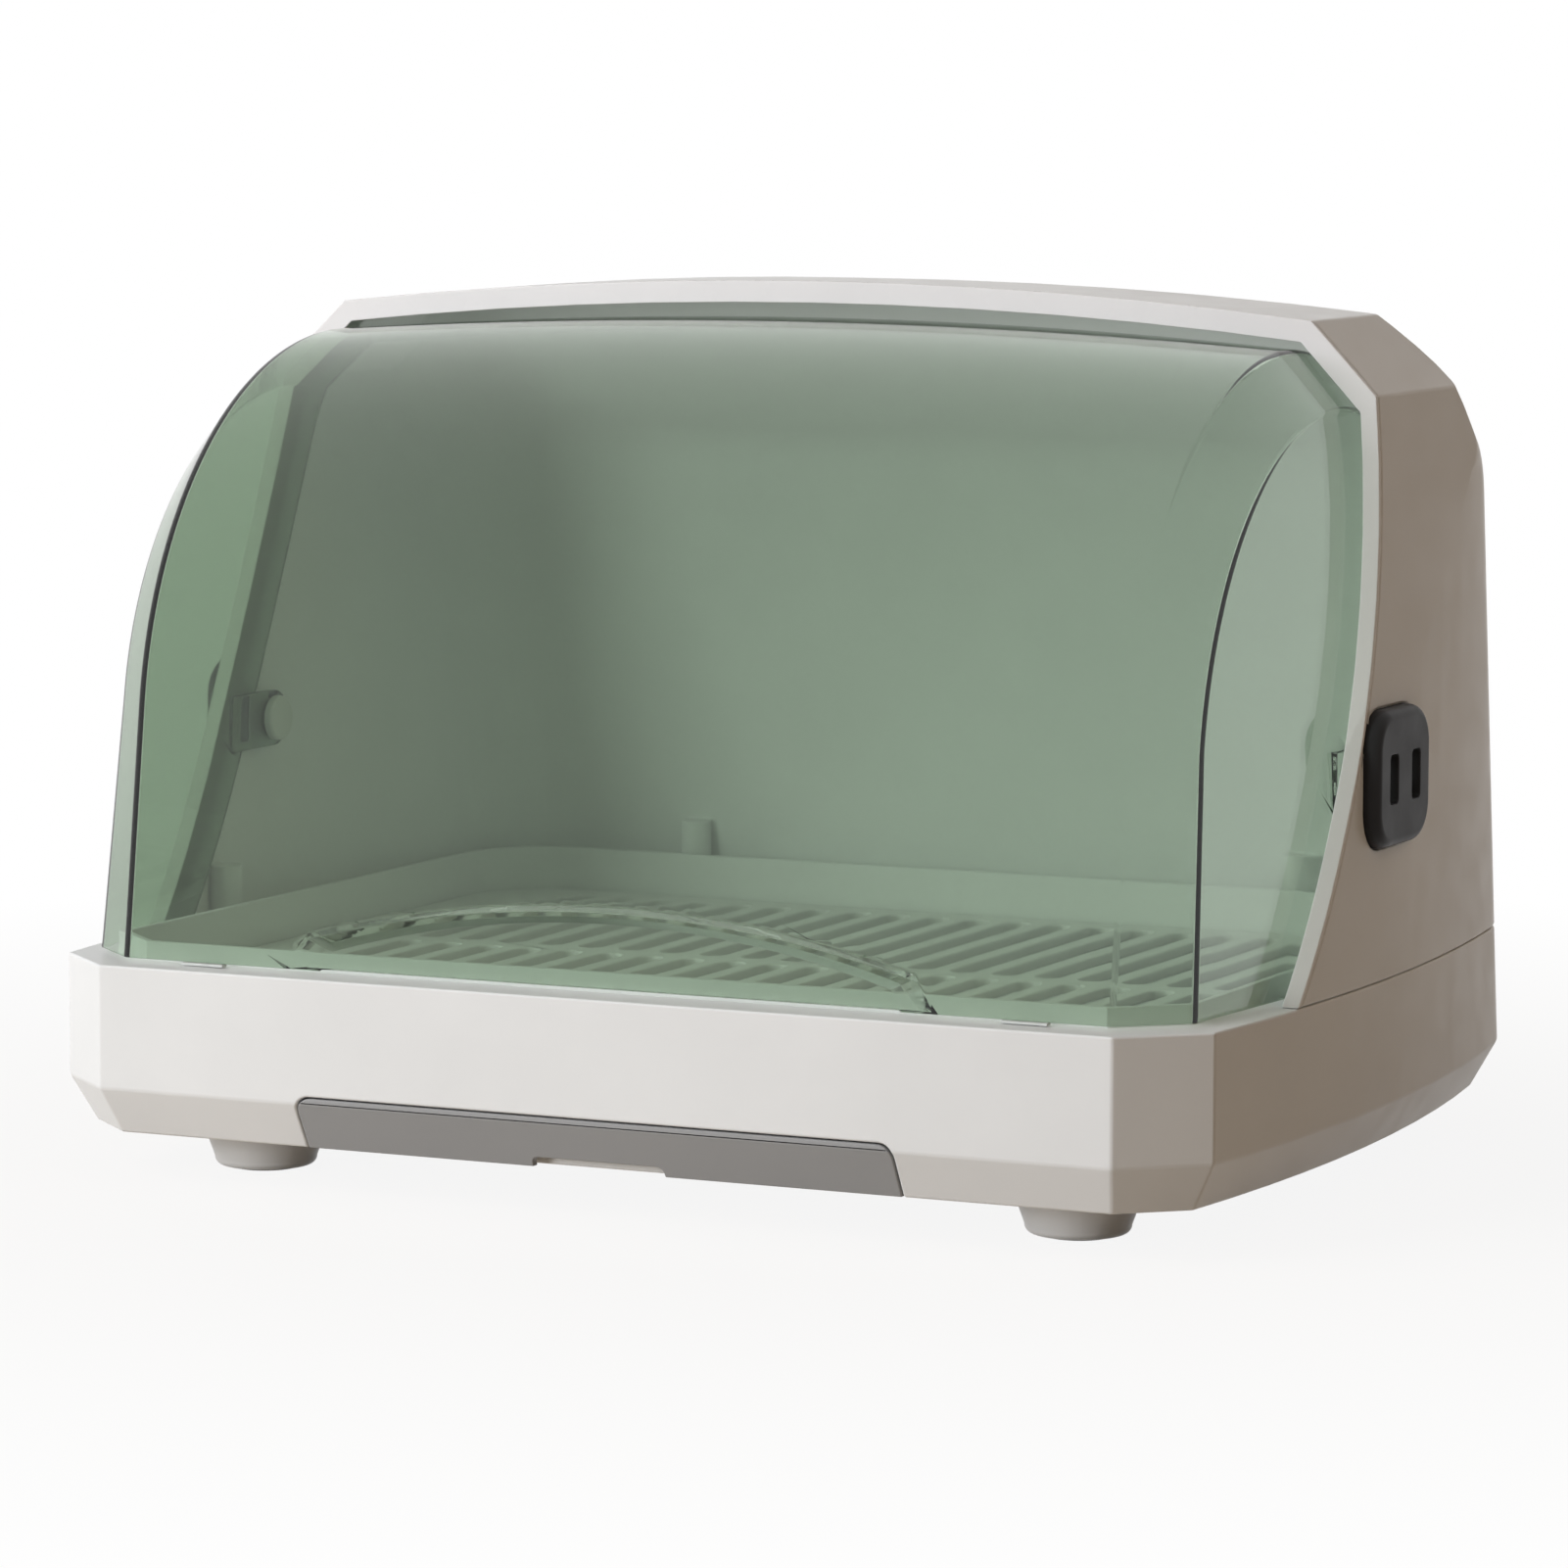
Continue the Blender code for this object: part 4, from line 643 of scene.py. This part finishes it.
class DryingBoxVisor(bpy.types.PropertyGroup):
    """Sizes of the clear visor and its pivots."""
    foot_y: length("Foot place", -0.1623, "Front of the visor's foot")
    foot_z: length("Foot height", 0.0755, "Height of the visor's foot")
    pivot_y: length("Pivot place", -0.0126712, "Pivot from the middle, front to back")
    pivot_z: length("Pivot height", 0.14216, "Height of the pivot")
    radius: length("Radius", 0.13984, "Radius of the folds about the pivot")
    past_top: angle("Past the top", math.radians(10.0), "How far the visor runs past the top")
    crown: length("Crown", 0.008, "How far the middle stands over the folds at the top")
    fold_half: length("Fold half width", 0.180, "Half width between the folds")
    fold_depth: length("Fold depth", 0.019, "Depth of the sloping fold")
    foot_half: length("Foot half width", 0.201, "Half width of the side walls at the foot")
    top_half: length("Top half width", 0.198, "Half width of the side walls higher up")
    side_end: length("Side end", 0.010, "How far the side walls stop short of the top")
    side_lap: length("Side lap", 0.016, "How far the side walls run behind the hood's edge")
    edge_foot: length("Edge foot", 0.0743, "Height of the foot of the hood's front edge")
    edge_height: length("Edge height", 0.2272, "Height of the hood's front edge")
    edge_start: length("Edge start", -0.1725, "Front of the tub")
    edge_reach: length("Edge reach", 0.1598288, "Pivot's distance behind the tub's front")
    wall: length("Wall", 0.0025, "Thickness of the clear wall")
    fold_edge: length("Fold edge", 0.0012, "Rounding of the folds")
    window_half: length("Window half width", 0.2095, "Half width of the rear edges, unbowed")
    bow_y: length("Bow place", -0.0275, "Where the hood's bowed sides are widest")
    bow_radius: length("Bow radius", 0.99764, "Radius of the hood's bowed sides")
    bend_z: length("Bend height", 0.1343, "Height at which the hood's sides begin to lean")
    bend_rise: length("Bend rise", 0.1327, "Height over which they lean")
    lean_in: length("Lean", 0.0095, "How far they lean in")
    lug_radius: length("Lug radius", 0.010, "Half height of the lug round each pivot")
    lug_reach: length("Lug reach", 0.030, "How far the lug runs forwards from the pivot")
    bore: length("Bore", 0.0033, "Radius of the hole for the pin")
    seat: length("Seat", 0.0003, "Clearance between pieces")
    arch_half: length("Arch half width", 0.119, "Half width of the finger recess at its foot")
    arch_shoulder: length("Arch shoulder", 0.111, "Half width of the recess at its shoulders")
    arch_shoulder_height: length("Shoulder height", 0.0105, "Height of the shoulders")
    arch_height: length("Arch height", 0.0255, "Height of the recess in the middle")
    arch_depth: length("Arch depth", 0.0032, "Depth of the recess")
    border_side: length("Side border", 0.009, "Width of the sloping border at the sides")
    border_top: length("Top border", 0.004, "Width of the sloping border at the top")
    columns: count("Columns", VISOR_COLUMNS, "Points across the sheet")
    rows: count("Rows", VISOR_ROWS, "Points along the sheet")

    def lift(self):
        """Angle about the pivot at which the straight foot meets the arc."""
        dy, dz = self.foot_y - self.pivot_y, self.foot_z - self.pivot_z
        return math.acos(self.radius / math.hypot(dy, dz)) - math.atan2(-dz, -dy)

    def tangent(self):
        return (self.pivot_y - self.radius * math.cos(self.lift()),
                self.pivot_z + self.radius * math.sin(self.lift()))

    def side_top(self):
        """Height at which the side walls end."""
        high = math.cos(self.past_top)
        return self.pivot_z + (self.radius - self.fold_depth) * high - self.side_end

    def front_at(self, z):
        """The straight front face at a height."""
        y, top = self.tangent()
        return self.foot_y + (y - self.foot_y) * (z - self.foot_z) / (top - self.foot_z)

    def rear_half_at(self, z):
        """Half width of the side walls' rear edges at a height."""
        up, reach = (z - self.edge_foot) / self.edge_height, 0.0
        for share in EDGE_SHARES:
            reach = reach * up + share
        off_bow = self.edge_start + self.edge_reach * reach - self.bow_y
        lean = min(1.0, max(0.0, (z - self.bend_z) / self.bend_rise))
        return self.window_half - off_bow ** 2 / (2 * self.bow_radius) - self.lean_in * lean ** 2


class DryingBoxRack(bpy.types.PropertyGroup):
    """Sizes of the slatted rack."""
    slot: length("Slot", 0.0090, "Width of a slot")
    bar: length("Bar", 0.0070, "Width of a slat between slots")
    border: length("Border", 0.0120, "Width of the border")
    corner: length("Corner", 0.0180, "How far the slots stay off the rounded corners")
    cross_bar: length("Cross bar", 0.0090, "Width of the bar between the rows")
    trim: length("Trim", 0.0001, "How much the slots are widened")
    edge: length("Edge", 0.0007, "Rounding of the slats' edges")
    rows: count("Rows", 2, "Rows of slots")
    corner_steps: count("Corner steps", 7, "Points round a slot's corner")


class DryingBoxSmall(bpy.types.PropertyGroup):
    """Sizes of the feet, screws, caps and pins."""
    foot_top: length("Foot top", 0.0218, "Radius of a foot at the tub")
    foot_bottom: length("Foot bottom", 0.0175, "Radius of a foot at the floor")
    foot_rounding: length("Foot rounding", 0.0030, "Rounding of a foot's lower edge")
    pad_radius: length("Pad radius", 0.0120, "Radius of a foot's pad")
    screw_head: length("Screw head", 0.0033, "Radius of a screw's head")
    screw_head_height: length("Head height", 0.0024, "Height of a screw's head")
    screw_shank: length("Screw shank", 0.0017, "Radius of a screw's shank")
    cap_radius: length("Cap corner", 0.0135, "Corner radius of a side cap")
    cap_draft: length("Cap draft", 0.0036, "How far a cap narrows to its face")
    slot_width: length("Slot width", 0.0078, "Width of a vent slot")
    slot_height: length("Slot height", 0.0165, "Height of a vent slot")
    slot_pitch: length("Slot pitch", 0.0208, "Distance between the vent slots")
    slot_radius: length("Slot corner", 0.0018, "Corner radius of a vent slot")
    pin_head: length("Pin head", 0.0080, "Radius of a pin's head")
    pin_head_height: length("Pin head height", 0.0030, "Height of a pin's head")
    pin_radius: length("Pin radius", 0.0030, "Radius of a pin's shank")
    pin_rounding: length("Pin rounding", 0.0010, "Rounding of a pin's head")


class DryingBoxSettings(bpy.types.PropertyGroup):
    look: bpy.props.PointerProperty(type=DryingBoxLook)
    visor: bpy.props.PointerProperty(type=DryingBoxVisor)
    rack: bpy.props.PointerProperty(type=DryingBoxRack)
    small: bpy.props.PointerProperty(type=DryingBoxSmall)


# Visor

def arch_outline(look, side_in, top_in, steps=60):
    """Front view of the finger recess, as X and Z, open at the visor's foot."""
    half, shoulder = look.arch_half - side_in, look.arch_shoulder - side_in
    shoulder_z = look.foot_z + look.arch_shoulder_height - top_in
    top_z = look.foot_z + look.arch_height - top_in
    rise = top_z - shoulder_z
    radius = (shoulder ** 2 + rise ** 2) / (2 * rise)
    points = [(-half, look.foot_z), (half, look.foot_z)]
    for i in range(steps + 1):
        x = shoulder * (1 - 2 * i / steps)
        points.append((x, top_z - radius + math.sqrt(radius ** 2 - x * x)))
    return points


def arch_tool(name, look, grow, near, far, below):
    """A dished block on the arch, narrower at its floor than at the visor's face."""
    rings = []
    for depth, side_in, top_in in ((near, -grow, -grow),
                                   (far, look.border_side - grow, look.border_top - grow)):
        ring = []
        for x, z in arch_outline(look, side_in, top_in):
            z = z - below if z <= look.foot_z else z
            ring.append((x, look.front_at(z) + depth, z))
        rings.append(ring)
    return add_object(name, loft(name, rings))


def lug_tool(look, side, steps=32):
    """A flat round-ended lug on the inside of one side wall."""
    low = look.rear_half_at(look.pivot_z) - look.wall - look.seat
    high = look.rear_half_at(look.pivot_z) + look.seat
    outline = [(look.pivot_y - look.lug_reach, look.pivot_z + look.lug_radius),
               (look.pivot_y - look.lug_reach, look.pivot_z - look.lug_radius)]
    for i in range(steps + 1):
        a = math.pi * (i / steps - 0.5)
        outline.append((look.pivot_y + look.lug_radius * math.cos(a),
                        look.pivot_z + look.lug_radius * math.sin(a)))
    rings = [[(side * x, y, z) for y, z in outline] for x in (low, high)]
    return add_object("lug", loft("lug", rings))


def outward(piece):
    """The piece with all its faces turned outwards."""
    with editing(piece.data) as work:
        bmesh.ops.recalc_face_normals(work, faces=work.faces)
    return piece


def make_visor(look, material, edge):
    """The grown sheet with a wall, lugs with bores at its pivots and the finger recess."""
    tree, values = visor_tree(look)
    visor = outward(grown("clear_visor", tree, values, material))
    folds = visor.modifiers.new("Rounded folds", 'BEVEL')
    folds.limit_method = 'ANGLE'
    folds.angle_limit = FOLD_ANGLE
    folds.width = look.fold_edge
    folds.segments = 4
    walls = visor.modifiers.new("Wall", 'SOLIDIFY')
    walls.thickness = look.wall
    walls.offset = -1.0
    walls.use_even_offset = True
    outward(applied(visor))
    reach = look.window_half + look.wall
    for side in (-1, 1):
        boolean(visor, lug_tool(look, side), 'UNION')
        profile = [(look.bore, side * look.fold_half), (look.bore, side * reach)]
        centre = (0.0, look.pivot_y, look.pivot_z)
        bore = turned("bore", profile, steps=40, axis="X", centre=centre)
        boolean(visor, add_object("bore", bore), 'DIFFERENCE')
    floor = look.arch_depth + look.wall
    boolean(visor, arch_tool("arch_wall", look, look.wall, look.wall / 2, floor, 0.0), 'UNION')
    cut = arch_tool("arch_cut", look, 0.0, -look.seat, look.arch_depth, look.arch_height)
    boolean(visor, cut, 'DIFFERENCE')
    return round_edges(visor, edge, 2)


# Rack

def slots_tree():
    """Round-ended slots through the rack, in rows across it, as solids to cut with."""
    sizes = dict.fromkeys(("width", "length", "height", "corner", "pitch", "row_pitch",
                           "middle_y", "low_z"), 0.0)
    tree, group, size = node_tree("Rack slots", {**sizes, "count": 1, "rows": 1,
                                                 "corner_steps": 1})
    outline = add_node(tree, "GeometryNodeCurvePrimitiveQuadrilateral", Width=size.width,
                       Height=size.length)
    ends = tree.nodes.new("GeometryNodeFilletCurve")
    ends.mode = 'POLY'
    set_up(tree, ends, Curve=outline.outputs["Curve"], Count=size.corner_steps,
           Radius=size.corner)
    rise = add_node(tree, "ShaderNodeCombineXYZ", Z=size.height)
    path = add_node(tree, "GeometryNodeCurvePrimitiveLine", End=rise.outputs[0])
    slot = add_node(tree, "GeometryNodeCurveToMesh", Curve=path.outputs["Curve"],
                    Profile_Curve=ends.outputs["Curve"], Fill_Caps=True)
    places = tree.nodes.new("GeometryNodeMeshGrid")
    for axis, pitch, number in (("X", size.pitch, size.count), ("Y", size.row_pitch, size.rows)):
        span = pitch * (number - 1.0)
        set_up(tree, places, **{f"Size {axis}": span, f"Vertices {axis}": number})
    repeated = add_node(tree, "GeometryNodeInstanceOnPoints", Points=places.outputs["Mesh"],
                        Instance=slot.outputs["Mesh"])
    there = add_node(tree, "ShaderNodeCombineXYZ", Y=size.middle_y, Z=size.low_z)
    moved = add_node(tree, "GeometryNodeTransform", Geometry=repeated.outputs["Instances"],
                     Translation=there.outputs[0])
    end_tree(tree, group, moved.outputs["Geometry"])
    return tree


def make_rack(look, material, edge):
    """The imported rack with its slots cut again, finer and slightly wider."""
    (_, low_y, low_z), (high_x, high_y, high_z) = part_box("drain_rack")
    width, pitch = look.slot + 2 * look.trim, look.slot + look.bar
    inside = 2 * (high_x - look.border - look.corner) + look.bar
    run = high_y - low_y - 2 * look.border
    length_ = (run - (look.rows - 1) * look.cross_bar) / look.rows
    values = dict(width=width, length=length_ + 2 * look.trim, corner=width * HALF_ROUND,
                  height=high_z - low_z + 2 * edge, pitch=pitch,
                  row_pitch=length_ + look.cross_bar, middle_y=(low_y + high_y) / 2,
                  low_z=low_z - edge, count=int(inside / pitch), rows=look.rows,
                  corner_steps=look.corner_steps)
    rack = plain_copy("rack", "drain_rack", material)
    boolean(rack, outward(grown("slots", slots_tree(), values, material)), 'DIFFERENCE')
    return round_edges(rack, edge, 2)


# Small parts

def quarter_arc(outer, low, rounding, steps):
    """Radius and distance along, up the rounding from a turned piece's end to its side."""
    for i in range(steps + 1):
        a = math.pi / 2 * i / steps
        yield outer - rounding * (1 - math.sin(a)), low + rounding * (1 - math.cos(a))


def foot_mesh(small, low_z, high_z):
    """A turned foot with a rounded lower edge and a recess for its pad, at the middle."""
    seat = small.pad_radius + small.foot_rounding / 10
    profile = [(seat, low_z + small.foot_rounding / 2), (seat, low_z)]
    profile += quarter_arc(small.foot_bottom, low_z, small.foot_rounding, steps=8)
    profile.append((small.foot_top, high_z))
    return turned("foot", profile, steps=72)


def screw_mesh(small, seat_z, top_z):
    """A turned screw with a bevelled head, head down."""
    head = seat_z - small.screw_head_height
    crown = small.screw_head_height / 3
    profile = [(small.screw_head * 0.75, head), (small.screw_head, head + crown),
               (small.screw_head, seat_z), (small.screw_shank, seat_z), (small.screw_shank, top_z)]
    return turned("screw", profile, steps=32)


def rounded_rectangle(half_y, half_z, radius, centre, steps=10):
    """Side view of a rounded rectangle, as Y and Z."""
    points = []
    for sy, sz, start in ((1, 1, 0.0), (-1, 1, 0.5), (-1, -1, 1.0), (1, -1, 1.5)):
        for i in range(steps + 1):
            a = math.pi * (start + 0.5 * i / steps)
            points.append((centre[0] + sy * (half_y - radius) + radius * math.cos(a),
                           centre[1] + sz * (half_z - radius) + radius * math.sin(a)))
    return points


def make_cap(name, node, look, small, material):
    """A pillowed cap with two vent slots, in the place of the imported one."""
    (low_x, low_y, low_z), (high_x, high_y, high_z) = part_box(node)
    side = 1 if low_x > 0 else -1
    back, face = (low_x, high_x) if side > 0 else (high_x, low_x)
    centre = ((low_y + high_y) / 2, (low_z + high_z) / 2)
    half_y, half_z = (high_y - low_y) / 2, (high_z - low_z) / 2
    shoulder = back + (face - back) * CAP_SHOULDER_SHARE
    rings = [[(back, y, z) for y, z in rounded_rectangle(half_y, half_z, small.cap_radius, centre)]]
    for i in range(CAP_EDGE_STEPS + 1):
        a = math.pi / 2 * i / CAP_EDGE_STEPS
        x = shoulder + (face - shoulder) * math.sin(a)
        draft = small.cap_draft * (1 - math.cos(a))
        rings.append([(x, y, z) for y, z in
                      rounded_rectangle(half_y - draft, half_z - draft,
                                        small.cap_radius - draft, centre)])
    cap = new_piece(name, loft(name, rings), material)
    for index in (-0.5, 0.5):
        slot = rounded_rectangle(small.slot_width / 2, small.slot_height / 2, small.slot_radius,
                                 (centre[0] + index * small.slot_pitch, centre[1]))
        rings = [[(x, y, z) for y, z in slot] for x in (back - side * look.shell_edge * 2,
                                                        face + side * look.shell_edge * 2)]
        boolean(cap, add_object("slot", loft("slot", rings)), 'DIFFERENCE')
    return round_edges(cap, look.small_edge, angle=CAP_ANGLE)


def make_pin(name, side, visor, small, low_x, high_x, material):
    """A pin with a round head on the visor's pivot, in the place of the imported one."""
    head_out = low_x + small.pin_head_height
    profile = list(quarter_arc(small.pin_head, low_x, small.pin_rounding, steps=4))
    profile += [(small.pin_head, head_out), (small.pin_radius, head_out),
                (small.pin_radius, high_x)]
    profile = [(radius, side * x) for radius, x in profile]
    centre = (0.0, visor.pivot_y, visor.pivot_z)
    mesh = turned(name, profile, steps=48, axis="X", centre=centre)
    return even_shading(new_piece(name, mesh, material))


# Operators

class BoxOperator:
    """What the building steps share."""
    bl_options = {'REGISTER', 'UNDO'}


class DRYBOX_OT_stage(BoxOperator, bpy.types.Operator):
    """Floor, soft light and the camera at the photograph's angle"""
    bl_idname = "drybox.stage"
    bl_label = "Stage"

    def execute(self, context):
        look = settings().look
        make_floor()
        make_world(look)
        for name, place_, size, tint_ in LAMPS:
            add_lamp(name, place_, size, getattr(look, f"{name}_power"), tint_)
        make_camera()
        context.scene.view_settings.view_transform = 'Standard'
        return {'FINISHED'}


class DRYBOX_OT_housing(BoxOperator, bpy.types.Operator):
    """Tub, drain well, hood and the trim in the hood's front edge"""
    bl_idname = "drybox.housing"
    bl_label = "Housing"

    def execute(self, context):
        look = settings().look
        parts = (("tub", "base_tub", "shell", look.shell_edge),
                 ("well", "drain_well", "shell", look.small_edge),
                 ("hood", "hood_shell", "shell", look.shell_edge),
                 ("hood_trim", "hood_front_frame", "trim", look.trim_edge))
        for name, node, coat, edge in parts:
            dress(name, node, coat, edge, "frame_white" if coat == "trim" else "shell_white")
        return {'FINISHED'}


class DRYBOX_OT_visor(BoxOperator, bpy.types.Operator):
    """The tinted visor with its folds, finger recess and pivot lugs"""
    bl_idname = "drybox.visor"
    bl_label = "Visor"

    def execute(self, context):
        box = settings()
        visor = make_visor(box.visor, finish("visor"), box.look.small_edge)
        place(visor, "visor", "visor_green", "visor")
        return {'FINISHED'}


class DRYBOX_OT_drawer(BoxOperator, bpy.types.Operator):
    """Drawer front, drip tray and the two runners"""
    bl_idname = "drybox.drawer"
    bl_label = "Drip drawer"

    def execute(self, context):
        look = settings().look
        dress("drawer_face", "drawer_front", "drawer", look.trim_edge, "drawer_grey", "drawer")
        dress("tray", "drip_tray", "tray", look.small_edge, "tray_white", "drawer", 2)
        for side in ("left", "right"):
            dress(f"runner_{side}", f"drawer_runner_{side}", "nylon", look.small_edge,
                  "nylon_white", segments=2)
        return {'FINISHED'}


class DRYBOX_OT_rack(BoxOperator, bpy.types.Operator):
    """The slatted rack that lifts out"""
    bl_idname = "drybox.rack"
    bl_label = "Rack"

    def execute(self, context):
        box = settings()
        rack = make_rack(box.rack, finish("rack"), box.rack.edge)
        place(rack, "rack", "rack_white", "drain_rack")
        return {'FINISHED'}


class DRYBOX_OT_feet(BoxOperator, bpy.types.Operator):
    """Four feet with their pads, and the four screws between tub and hood"""
    bl_idname = "drybox.feet"
    bl_label = "Feet and screws"

    def execute(self, context):
        small = settings().small
        tree = pairs_tree()
        corners = [f"{row}_{side}" for row in ("front", "rear") for side in ("left", "right")]

        def middles(nodes):
            """Half spacing and Y of the front pair and of the rear pair."""
            values = {}
            for row, node in zip(("front", "rear"), nodes):
                low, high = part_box(node)
                values[f"{row}_half_spacing"] = abs(low[0] + high[0]) / 2
                values[f"{row}_y"] = (low[1] + high[1]) / 2
            return values

        low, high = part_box("foot_front_right")
        where = middles(("foot_front_right", "foot_rear_right"))
        feet = grown("feet", tree, where, finish("shell"), foot_mesh(small, low[2], high[2]))
        place(even_shading(feet), "housing", "shell_white", *(f"foot_{c}" for c in corners))
        low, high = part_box("foot_pad_front_right")
        pad = turned("pad", [(small.pad_radius * 0.95, low[2]),
                             (small.pad_radius, low[2] + small.foot_rounding / 5),
                             (small.pad_radius, high[2])], steps=48)
        pads = grown("foot_pads", tree, where, finish("rubber"), pad)
        place(even_shading(pads), "housing", "rubber_grey", *(f"foot_pad_{c}" for c in corners))

        names = ("side_right", "rear_right", "side_left", "rear_left")
        nodes = [f"hood_screw_{name}" for name in names]
        low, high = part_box(nodes[0])
        shape = screw_mesh(small, low[2] + small.screw_head_height, high[2])
        screws = grown("screws", tree, middles(nodes[:2]), finish("steel"), shape)
        place(even_shading(screws), "housing", "screw_steel", *nodes)
        return {'FINISHED'}


class DRYBOX_OT_pivots(BoxOperator, bpy.types.Operator):
    """Vented side caps, visor pins with their washers, and the visor's bumpers"""
    bl_idname = "drybox.pivots"
    bl_label = "Caps and pivots"

    def execute(self, context):
        box = settings()
        look, small = box.look, box.small
        for name, side in (("left", -1), ("right", 1)):
            node = f"side_cap_{name}"
            cap = make_cap(f"cap_{name}", node, look, small, finish("cap"))
            place(cap, "housing", "cap_charcoal", node)
            node = f"pivot_pin_{name}"
            low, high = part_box(node)
            reach = sorted((abs(low[0]), abs(high[0])))
            pin = make_pin(f"pin_{name}", side, box.visor, small, *reach, finish("nylon"))
            place(pin, "housing", "nylon_white", node)
            dress(f"washer_{name}", f"pivot_washer_{name}", "nylon", look.small_edge / 2,
                  "nylon_white", segments=2)
            dress(f"bumper_{name}", f"visor_bumper_{name}", "bumper", look.small_edge / 2,
                  "bumper_pale", segments=2)
        return {'FINISHED'}


# Stage

def seen_directly(tree):
    """One where the camera, gloss or clear plastic looks, nought for light that bounces."""
    path = tree.nodes.new("ShaderNodeLightPath")
    seen = Field(tree, path.outputs["Is Camera Ray"])
    for kind in ("Is Glossy Ray", "Is Transmission Ray"):
        seen = seen.math('MAXIMUM', path.outputs[kind])
    return seen


def make_floor():
    """A floor that is near white where it is seen, and white further off. The light that
    bounces off it is weaker and warmer, and it keeps the object's shadow."""
    half = FLOOR_HALF
    verts = [(-half, -half, 0.0), (half, -half, 0.0), (half, half, 0.0), (-half, half, 0.0)]
    material, tree, shader = new_material("floor")
    set_up(tree, shader, Base_Color=FLOOR_COLOUR, Roughness=0.9, Specular_IOR_Level=0.0)
    white = add_node(tree, "ShaderNodeEmission", Strength=1.0)
    where = tree.nodes.new("ShaderNodeTexCoord")
    away = tree.nodes.new("ShaderNodeVectorMath")
    away.operation = 'LENGTH'
    tree.links.new(where.outputs["Object"], away.inputs[0])
    fade = add_node(tree, "ShaderNodeMapRange", Value=away.outputs["Value"],
                    From_Min=FADE_START, From_Max=FADE_END, To_Min=WHITE_SHARE, To_Max=1.0)
    share = Field(tree, fade.outputs["Result"]) * seen_directly(tree)
    mix_shaders(tree, share, shader, white)
    new_piece("floor", mesh_from("floor", verts, [(0, 1, 2, 3)]), material)


def make_world(look):
    """Even light, with plain white where the camera, gloss or clear plastic looks past."""
    world = bpy.data.worlds.new("studio")
    bpy.context.scene.world = world
    world.use_nodes = True
    tree = world.node_tree
    seen = set_up(tree, tree.nodes["Background"], Color=(1.0, 1.0, 1.0, 1.0), Strength=1.0)
    light = add_node(tree, "ShaderNodeBackground", Color=ROOM_COLOUR, Strength=look.room_light)
    mix_shaders(tree, seen_directly(tree), light, seen, "World Output")


def add_lamp(name, place_, size, watts, tint_):
    """A soft square lamp that points at the object."""
    lamp = bpy.data.lights.new(name, 'AREA')
    lamp.shape = 'SQUARE'
    lamp.size = size
    lamp.energy = watts
    lamp.color = tint_
    holder = add_object(name, lamp)
    holder.location = place_
    aim = Vector(LAMP_AIM) - Vector(place_)
    holder.rotation_euler = aim.to_track_quat('-Z', 'Y').to_euler()
    # The lamps' square shapes stay out of the mirror of both faces of the visor
    holder.visible_glossy = False
    holder.visible_transmission = False


def make_camera():
    """The camera at the photograph's angle, shifted off its target."""
    yaw, pitch, roll = CAMERA_YAW, CAMERA_PITCH, CAMERA_ROLL
    ahead = Vector((-math.sin(yaw) * math.cos(pitch), math.cos(yaw) * math.cos(pitch),
                    -math.sin(pitch)))
    right = Vector((math.cos(yaw), math.sin(yaw), 0.0))
    up = right.cross(ahead)
    rolled_right = right * math.cos(roll) + up * math.sin(roll)
    rolled_up = up * math.cos(roll) - right * math.sin(roll)
    eye = -(rolled_right * CAMERA_SHIFT_RIGHT + rolled_up * CAMERA_SHIFT_UP
            + ahead * CAMERA_DISTANCE) + Vector(CAMERA_TARGET)
    lens = bpy.data.cameras.new("camera")
    lens.lens = CAMERA_LENS
    lens.sensor_width = SENSOR_WIDTH
    camera = add_object("camera", lens)
    turn = Matrix((rolled_right, rolled_up, -ahead)).transposed()
    camera.matrix_world = Matrix.Translation(eye) @ turn.to_4x4()
    bpy.context.scene.camera = camera


# Panel

class DRYBOX_PT_panel(bpy.types.Panel):
    """Building steps and settings of the drying box"""
    bl_idname = "DRYBOX_PT_panel"
    bl_label = "Drying Box"
    bl_space_type = 'VIEW_3D'
    bl_region_type = 'UI'
    bl_category = "Drying Box"

    def draw(self, context):
        for operator in OPERATORS:
            self.layout.operator(operator.bl_idname)
        box = context.scene.drying_box
        for group in (box.look, box.visor, box.rack, box.small):
            column = self.layout.column()
            for name in group.bl_rna.properties.keys():
                if name not in ("rna_type", "name"):
                    column.prop(group, name)


OPERATORS = (DRYBOX_OT_stage, DRYBOX_OT_housing, DRYBOX_OT_visor, DRYBOX_OT_drawer,
             DRYBOX_OT_rack, DRYBOX_OT_feet, DRYBOX_OT_pivots)
CLASSES = (DryingBoxLook, DryingBoxVisor, DryingBoxRack, DryingBoxSmall, DryingBoxSettings,
           *OPERATORS, DRYBOX_PT_panel)


def register():
    for cls in CLASSES:
        bpy.utils.register_class(cls)
    bpy.types.Scene.drying_box = bpy.props.PointerProperty(type=DryingBoxSettings)


def unregister():
    del bpy.types.Scene.drying_box
    for cls in reversed(CLASSES):
        bpy.utils.unregister_class(cls)


def main():
    register()
    for step in ("stage", "housing", "visor", "drawer", "rack", "feet", "pivots"):
        getattr(bpy.ops.drybox, step)()
    bpy.context.view_layer.update()


if __name__ == "__main__":
    main()
